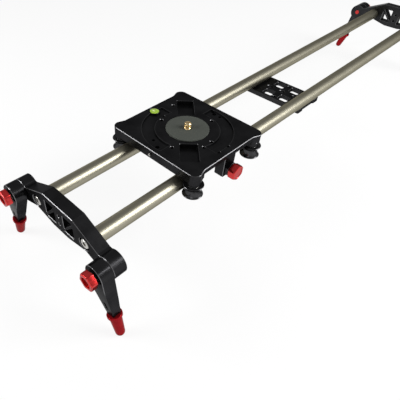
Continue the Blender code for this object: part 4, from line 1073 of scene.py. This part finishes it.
class SLIDER_OT_pad(bpy.types.Operator):
    """Build the pad, the camera screw and the spirit level"""

    bl_idname = "slider.pad"
    bl_label = "Pad, screw and level"

    def execute(self, context):
        data = context.scene.slider_carriage
        top, floor = PLATE_TOP + data.pad_rise, PLATE_TOP - 0.0007
        radius = data.pad_radius
        profile = [(0.0052, top - 0.0003), (0.0056, top), (radius - 0.0012, top)]
        profile += [(radius - 0.0004, top - 0.00018), (radius, top - 0.0006)]
        profile += [(radius, floor), (0.0052, floor)]
        disc = lathe(profile, context.scene.slider_finish.facets, ring=True)
        add_piece("pad_disc", disc, "rubber", "carriage", ["mount_pad"], CARRIAGE)
        self.add_camera_screw()
        self.add_level(CARRIAGE @ at(*LEVEL_SPOT, PLATE_TOP))
        self.add_end_pin(1, -1)
        self.add_end_pin(2, 1)
        return {"FINISHED"}

    def add_camera_screw(self):
        low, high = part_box("camera_screw")
        foot, tip = low.z - AXIS_Z, high.z - AXIS_Z
        core, nose = 0.0043, 0.0007
        outline = [(0, tip), (core - nose, tip), (core, tip - nose), (core, foot), (0, foot)]
        stud = moved(lathe(soft_profile(outline, [0, 0.0002, 0.0002, 0, 0]), 48), CARRIAGE)
        slot = prism(rectangle(-0.006, -0.0005, 0.006, 0.0005), tip - 0.0012, tip + 0.001)
        moved(slot, CARRIAGE @ turned(math.radians(-38), "Z"))
        stud = painted(shaped(stud, [slot]), finish("brass"))
        seat = CARRIAGE @ at(0, 0, PLATE_TOP - 0.004)
        winding = repeated("screw_threads", [seat], "brass", core, tip - PLATE_TOP + 0.0030, 0.0012, 0.00042)
        add_piece("camera_screw_stud", joined([stud, winding]), None, "carriage", ["camera_screw"])

    def add_level(self, here):
        floor = -0.0037
        rim = [(0.0068, floor), (0.0068, 0.0001), (0.0072, 0.0003)]
        rim += [(0.0080, 0.0003), (0.0082, 0.0001), (0.0082, floor)]
        collar = lathe(soft_profile(rim, [0, *[0.0001] * 4, 0], 2), 64, ring=True)
        add_piece("level_collar", collar, "black", "carriage", ["level_rim"], here)
        vial = lathe(dome(0.0067, -0.0002, 0.0008, 8) + [(0.0067, floor), (0, floor)], 64)
        add_piece("level_cover", vial, "liquid", "carriage", ["level_vial"], here)
        mark = [(0.0030, 0.00052), (0.0033, 0.00048), (0.0033, 0.00040), (0.0030, 0.00040)]
        add_piece("level_mark", lathe(mark, 48, ring=True), "nylon", "carriage", (), here)
        air = lathe(dome(0.0021, 0.00048, 0.00022, 6) + [(0.0021, 0.0003), (0, 0.0003)], 40)
        add_piece("level_air", air, "bubble", "carriage", (), here @ at(-0.0008, 0.0006, 0))

    def add_end_pin(self, n, side):
        node = f"end_set_screw_{n}"
        low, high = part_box(node)
        radius, length = 0.0019, 0.009
        outline = [(0, length), (radius, length), (radius, 0), (0, 0)]
        key = prism(ring_loop(0.001, 6), length - 0.0015, length + OVERRUN)
        pin = shaped(lathe(soft_profile(outline, [0, 0.0003, 0, 0]), 32), [key])
        matrix = at(low.x if side > 0 else high.x, 0, middle(node).z) @ turned(side * math.pi / 2, "Y")
        add_piece(f"end_pin_{n}", pin, "steel", "carriage", [node], matrix)


# How deep a wheel is dished at each side
LOWER_DISH = 0.0025
UPPER_DISH = 0.001


def wheel_profile(data):
    """Outer side of a wheel from top to bottom, then its dishes and bore."""
    groove = RAIL_RADIUS + CLEARANCE
    centre = data.throat + groove
    reach = math.acos((centre - data.flange + 0.0004) / groove)
    half, flange, nip, dish, bore = data.wheel_half, data.flange, 0.0006, 0.0084, 0.0052
    low, high = LOWER_DISH - half, half - UPPER_DISH
    profile = [(0.0090, half), (0.0092, half), (flange - nip, half), (flange, half - nip)]
    profile += [(centre - x, y) for x, y in arc((0, 0), groove, reach, -reach, 20)]
    profile += [(flange, nip - half), (flange - nip, -half), (0.0092, -half), (0.0086, 0.0005 - half)]
    return profile + [(dish, low), (bore, low), (bore, high), (dish, high)]


class SLIDER_OT_wheels(bpy.types.Operator):
    """Build the six grooved wheels with their bearings, screws and spacers"""

    bl_idname = "slider.wheels"
    bl_label = "Wheels"

    def execute(self, context):
        data = context.scene.slider_carriage
        # The floor of each dish and the height of the bearing's rings in it
        dishes = (LOWER_DISH - data.wheel_half, 0.0006), (data.wheel_half - UPPER_DISH, 0.0003)
        for name in numbered("wheel", 4) + numbered("inner_wheel", 2):
            here = at(*middle(name))
            body = lathe(wheel_profile(data), 80, ring=True)
            add_piece(f"{name}_tread", body, "wheel", name, [name], here)
            faces = []
            for z, height in dishes:
                seat, sunk = [here @ at(0, 0, z)], [here @ at(0, 0, z - 0.0001)]
                faces.append(washers(sunk, 0.0083, 0.0078, height))
                faces.append(washers(seat, 0.0079, 0.0045, 0.00035, "nylon", 0.0001))
                faces.append(washers(sunk, 0.0046, 0.0029, height))
            add_piece(f"{name}_bearing", joined(faces), None, name, ())
        for label, body, count in (("axle_screw", "carriage", 4), ("inner_axle_screw", "tension_ring", 2)):
            hanging_screws(label, count, body, AXLE_SCREW, extent(f"{label}_1").z - AXLE_SCREW[1])
        nodes = numbered("axle_spacer", 4)
        rings = washers([foot_of(node) for node in nodes], 0.0046, 0.0028, extent(nodes[0]).z)
        add_piece("axle_spacers_set", rings, None, "carriage", nodes)
        return {"FINISHED"}


def ring_slot(angle, radius, half):
    """A slot with round ends that curves about the middle."""
    start, end = angle - math.radians(11), angle + math.radians(34)
    head, tail = ((radius * math.cos(a), radius * math.sin(a)) for a in (end, start))
    loop = arc((0, 0), radius + half, start, end, 24) + arc(head, half, end, end + math.pi, 16)[1:-1]
    loop += arc((0, 0), radius - half, end, start, 24)
    return loop + arc(tail, half, start + math.pi, start + math.tau, 16)[1:-1]


class SLIDER_OT_ring(bpy.types.Operator):
    """Build the slotted tension ring and its two clamp screws"""

    bl_idname = "slider.ring"
    bl_label = "Tension ring"

    def execute(self, context):
        low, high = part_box("tension_ring")
        foot = low.z - AXIS_Z
        radius = (high.x - low.x) / 2
        clamp = abs(middle("ring_screw_1").x - CARRIAGE_X)
        thickness = 0.0034
        span = RING_TOP - thickness, RING_TOP, FINE_EDGE
        cuts = [through_cut(ring_loop(0.0210, 96), *span)]
        cuts += [through_cut(ring_slot(angle, clamp, 0.0027), *span) for angle in (0, math.pi)]
        necks = []
        for side in (1, -1):
            spot = side * INNER_WHEEL.x, side * INNER_WHEEL.y
            necks.append(prism(ring_loop(0.0046, 48, spot), foot, RING_TOP - thickness / 2))
            cuts.append(through_cut(ring_loop(0.0028, 32, spot), foot, RING_TOP, 0.0001))
        body = shaped(plate(ring_loop(radius, 128), *span), cuts, necks)
        add_piece("ring_slotted", body, "ring", "tension_ring", ["tension_ring"], CARRIAGE)
        hanging_screws("ring_screw", 2, "carriage", CLAMP_SCREW, 0.0100)
        return {"FINISHED"}


def knob_mesh(radius, depth, key=True):
    """A six-sided knob on Z, its face at the top: chamfered rims and a dish, with a hex key well or plain."""
    corner, face = (0.0032, 1.0) if key else (0.0052, 1.8)
    loop = rounded(hexagon(radius), corner, 8)
    # Inset and height of each outline
    rims = [(0.0012, 0), (0.0004, 0.0005), (0, 0.0012)]
    rims += [(0, depth - 0.0014 * face), (0.0004 * face, depth - 0.0006), (0.0013 * face, depth)]
    body = loft(*((grown(loop, -inset), z) for inset, z in rims))
    if not key:
        return shaped(body, [blind_cut(ring_loop(0.0074, 64), depth - 0.0007, depth, 0.0005)])
    floor = depth - 0.0028
    recess = blind_cut(ring_loop(0.0070, 64), floor, depth, 0.0004)
    return shaped(body, [recess, blind_cut(ring_loop(0.0034, 6), depth - 0.0060, floor, 0.0003, 0.001)])


class SLIDER_OT_brake(bpy.types.Operator):
    """Build the brake block, its shoe and its knob"""

    bl_idname = "slider.brake"
    bl_label = "Brake"

    def execute(self, context):
        legs = context.scene.slider_legs
        edge = context.scene.slider_finish.edge
        low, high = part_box("brake_block")
        half = (high.x - low.x) / 2
        inside, outside = high.y, high.y - 0.014
        facing = at(middle("brake_block").x, 0, AXIS_Z) @ turned(math.pi / 2, "X")
        outline = rectangle(-half, low.z - AXIS_Z, half, high.z - AXIS_Z)
        outline = rounded(outline, [0.002, 0.002, 0.0004, 0.0004], 5)
        boss = plate(hexagon(0.0100), -outside - 0.004, -low.y, edge)
        bore = prism(ring_loop(0.0053, 48), -inside - OVERRUN, 0.0047 - inside)
        shaft = prism(ring_loop(0.0033, 32), -inside - OVERRUN, OVERRUN - low.y)
        block = highlight_marked(shaped(plate(outline, -inside, -outside, edge), [bore, shaft], [boss]))
        add_piece("brake_housing", block, "black", "carriage", ["brake_block"], facing)
        low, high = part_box("brake_knob")
        depth = legs.knob_depth
        knob = moved(knob_mesh(legs.knob, depth, False), at(0, 0, -low.y - depth))
        knob = shaped(knob, (), [prism(ring_loop(0.003, 32), -high.y, -low.y - depth / 2)])
        add_piece("brake_grip", knob, "red", "brake_knob", ["brake_knob"], facing)
        low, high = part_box("brake_shoe")
        outline = [(0, -low.y), (0.005, -low.y), (0.005, -high.y), (0, -high.y)]
        shoe = lathe(soft_profile(outline, [0, 0.0004, 0.0008, 0]), 48)
        add_piece("brake_pad", shoe, "nylon", "brake_shoe", ["brake_shoe"], facing)
        return {"FINISHED"}


def arm_mesh(data, boss, edge):
    """A leg's arm: round boss and tapering arm whose faces lean together, with a slot."""
    lean = math.asin((boss - data.end_half) / data.length)
    back = -CLEARANCE
    front = back - data.depth
    side = [(0.0, -data.length), (data.end_half, -data.length)]
    side.append((boss * math.cos(lean), -boss * math.sin(lean)))
    corner = soft_profile(side, [0, 0.0009, 0])[1:-1]
    outline = corner + arc((0, 0), boss, -lean, math.pi + lean, 64) + [(-x, y) for x, y in reversed(corner)]
    run = data.length - boss
    low = -data.length - OVERRUN
    cuts = []
    for face, way, amount in ((front, -1, data.front_lean), (back, 1, data.back_lean)):
        outside = face + way * OVERRUN
        inside = face - way * amount * (run + OVERRUN) / run
        wedge = [(outside, -boss + OVERRUN * run / amount), (inside, low), (outside, low)]
        cuts.append(moved(prism(wedge, -0.02, 0.02), SIDEWAYS))
    half = data.slot_width / 2
    low = data.slot_rise - data.length + half
    high = low + data.slot_length - data.slot_width
    slot = arc((0, high), half, 0, math.pi, 16) + arc((0, low), half, math.pi, math.tau, 16)
    cuts += [through_cut(loop, front, back, FINE_EDGE) for loop in (slot, ring_loop(BOLT_BORE, 48))]
    stud_x = (front + data.front_lean + back - data.back_lean) / 2
    upwards = at(0, -data.length, stud_x) @ turned(-math.pi / 2, "X")
    cuts.append(moved(rod(0.0033, -OVERRUN, 0.0233, 32), upwards))
    return highlight_marked(shaped(plate(outline, front, back, edge), cuts)), stud_x


class SLIDER_OT_legs(bpy.types.Operator):
    """Build the four legs with their lock knobs, studs and feet"""

    bl_idname = "slider.legs"
    bl_label = "Legs"

    def execute(self, context):
        data = context.scene.slider_legs
        frame_data = context.scene.slider_frame
        arm, stud_x = arm_mesh(data, frame_data.boss, context.scene.slider_finish.edge)
        knob = moved(knob_mesh(data.knob, data.knob_depth - data.washer_depth), at(0, 0, data.washer_depth))
        bolt = prism(ring_loop(0.004, 40), data.knob_depth - extent("lock_knob_1").x, data.knob_depth / 2)
        knob = painted(shaped(knob, (), [bolt]), finish("red"))
        knob = joined([knob, washers([at()], data.washer, 0.0041, data.washer_depth)])
        knob_seat = at(KNOB_X + BRACKET_FACE + data.knob_depth, 0, 0) @ turned(-math.pi / 2, "Y")
        for n, (far, side) in enumerate(ENDS, 1):
            here = leg_frame(far, side, data.splay, frame_data)
            matrix = here @ ACROSS
            add_piece(f"leg_{n}_arm", arm.copy(), "arm", f"leg_{n}", [f"leg_arm_{n}"], matrix)
            node = f"lock_knob_{n}"
            add_piece(f"leg_{n}_knob", knob.copy(), None, node, [node], here @ knob_seat)
            self.add_foot(n, here @ at(stud_x, 0, 0), data)
        return {"FINISHED"}

    def add_foot(self, n, seat, data):
        top = -data.length - CLEARANCE
        low, high = top - 0.012, 0.023 - data.length
        radius, end = 0.0025, 0.0006
        core = painted(moved(rod(radius, low, high, 24), seat), finish("steel"))
        sizes = radius, high - low - 2 * end, 0.001, 0.00045
        winding = repeated("screw_threads", [seat @ at(0, 0, low + end)], "steel", *sizes)
        node = f"foot_stud_{n}"
        add_piece(f"leg_{n}_stud", joined([core, winding]), None, node, [node])
        tip = -data.length - data.foot_length + data.foot_tip
        bore, floor, flange = 0.0033, top - 0.0123, data.foot_flange
        outline = [(bore, floor), (bore, top), (flange, top), (flange, top - 0.0032)]
        outline += [(0.0076, top - 0.0048), (data.foot_tip, tip)]
        profile = soft_profile(outline, [0, 0.0002, 0.0006, 0.0006, 0.0008, 0])[:-1]
        profile += arc((0, tip), data.foot_tip, 0, -math.pi / 2, 14)
        foot = lathe([(0, floor)] + profile, 64)
        add_piece(f"leg_{n}_foot", foot, "foot", f"foot_{n}", [f"foot_{n}"], seat)


# Floor, light and camera


def area_light(name, place, target, width, height, power):
    data = bpy.data.lights.new(name, "AREA")
    data.shape = "RECTANGLE"
    data.size = width
    data.size_y = height
    data.energy = power
    light = placed(name, data)
    light.location = place
    light.rotation_euler = (Vector(target) - Vector(place)).to_track_quat("-Z", "Y").to_euler()


def studio_world():
    """White round the slider; overhead a dim ceiling, so that polished tops stay deep."""
    world = bpy.data.worlds.new("studio")
    bpy.context.scene.world = world
    world.use_nodes = True
    world.node_tree.nodes.clear()
    nodes = Nodes(world.node_tree)
    path = nodes.add("ShaderNodeLightPath").outputs
    inputs = [{"Color": (1, 1, 1), "Strength": strength} for strength in (0.30, 1.0)]
    room, white = (nodes.add("ShaderNodeBackground", values).outputs[0] for values in inputs)
    place = nodes.add("ShaderNodeTexCoord").outputs["Generated"]
    height = nodes.add("ShaderNodeSeparateXYZ", {0: place}).outputs["Z"]
    ceiling = nodes.spread(height, 0.0, 1.0, 0.05, 0.40)
    low = nodes.math("MULTIPLY", path["Is Glossy Ray"], nodes.math("SUBTRACT", 1.0, ceiling))
    seen = nodes.math("MAXIMUM", path["Is Camera Ray"], path["Is Transmission Ray"])
    nodes.blended(nodes.math("MAXIMUM", seen, low), room, white, nodes.add("ShaderNodeOutputWorld"))


def floor_paper(base):
    """Pale paper that looks nearly white and keeps the shadow."""
    material, nodes, shader, _ = started("floor_paper", base, 0.9, 0.0, shiny(level=0.0))
    glow = nodes.add("ShaderNodeEmission", {"Color": (1, 1, 1)}).outputs[0]
    path = nodes.add("ShaderNodeLightPath").outputs
    seen = nodes.math("MAXIMUM", path["Is Camera Ray"], path["Is Transmission Ray"])
    seen = nodes.math("MULTIPLY", nodes.math("MAXIMUM", seen, path["Is Glossy Ray"]), 0.85)
    nodes.blended(seen, shader.outputs[0], glow, material.node_tree.nodes["Material Output"])
    return material


class SLIDER_OT_stage(bpy.types.Operator):
    """Build the floor, the soft lights and the camera"""

    bl_idname = "slider.stage"
    bl_label = "Stage"

    def execute(self, context):
        data = context.scene.slider_stage
        studio_world()
        bpy.ops.mesh.primitive_plane_add(size=16, location=(0, 0, 0))
        floor = context.object
        floor.name = "floor"
        painted(floor.data, floor_paper(tuple(data.floor)))
        aim = (CARRIAGE_X, 0, AXIS_Z)
        area_light("key", (CARRIAGE_X + 0.80, -1.06, 0.98), aim, 0.8, 1.0, data.key)
        area_light("rim", (CARRIAGE_X - 0.95, 0.70, 0.70), aim, 0.6, 0.4, data.rim)
        area_light("fill", (CARRIAGE_X - 1.4, -0.9, 0.7), aim, 0.7, 0.7, data.fill)
        self.add_camera(context.scene, data.lens)
        context.scene.view_settings.view_transform = "Standard"
        return {"FINISHED"}

    def add_camera(self, scene, length):
        lens = bpy.data.cameras.new("camera")
        lens.lens = length
        lens.sensor_width = 36
        lens.shift_x = 0.138
        lens.shift_y = 0.018
        lens.clip_start = 0.01
        spot = (CARRIAGE_X - 0.3584, -0.2903, AXIS_Z + 0.3380)
        azimuth, tilt, roll = math.radians(46.0), math.radians(45.3), 0.013
        level = math.cos(tilt)
        forward = Vector((math.cos(azimuth) * level, math.sin(azimuth) * level, -math.sin(tilt)))
        right = Vector((math.sin(azimuth), -math.cos(azimuth), 0))
        up = right.cross(forward)
        side = right * math.cos(roll) + up * math.sin(roll)
        rise = up * math.cos(roll) - right * math.sin(roll)
        scene.camera = placed("camera", lens)
        scene.camera.matrix_world = at(*spot) @ Matrix((side, rise, -forward)).transposed().to_4x4()


class SLIDER_PT_panel(bpy.types.Panel):
    """Builds each group of pieces"""

    bl_idname = "SLIDER_PT_panel"
    bl_label = "Camera slider"
    bl_space_type = "VIEW_3D"
    bl_region_type = "UI"
    bl_category = "Slider"

    def draw(self, context):
        for build in BUILDERS:
            self.layout.operator(build.bl_idname)
        for group in GROUPS:
            settings = getattr(context.scene, group)
            box = self.layout.box()
            for name in settings.bl_rna.properties.keys():
                if name not in ("rna_type", "name"):
                    box.prop(settings, name)


GROUPS = {
    "slider_finish": SliderFinish,
    "slider_frame": SliderFrame,
    "slider_carriage": SliderCarriage,
    "slider_legs": SliderLegs,
    "slider_stage": SliderStage,
}
BUILDERS = (
    SLIDER_OT_rails,
    SLIDER_OT_brackets,
    SLIDER_OT_frame_screws,
    SLIDER_OT_centre_plate,
    SLIDER_OT_carriage_plate,
    SLIDER_OT_pad,
    SLIDER_OT_wheels,
    SLIDER_OT_ring,
    SLIDER_OT_brake,
    SLIDER_OT_legs,
    SLIDER_OT_stage,
)


def register():
    for item in (*GROUPS.values(), *BUILDERS, SLIDER_PT_panel):
        bpy.utils.register_class(item)
    for name, group in GROUPS.items():
        setattr(bpy.types.Scene, name, PointerProperty(type=group))


def unregister():
    for name in GROUPS:
        delattr(bpy.types.Scene, name)
    for item in (SLIDER_PT_panel, *reversed(BUILDERS), *reversed(GROUPS.values())):
        bpy.utils.unregister_class(item)


def main():
    register()
    for build in BUILDERS:
        group, name = build.bl_idname.split(".")
        getattr(getattr(bpy.ops, group), name)()
    bpy.context.view_layer.update()


if __name__ == "__main__":
    main()
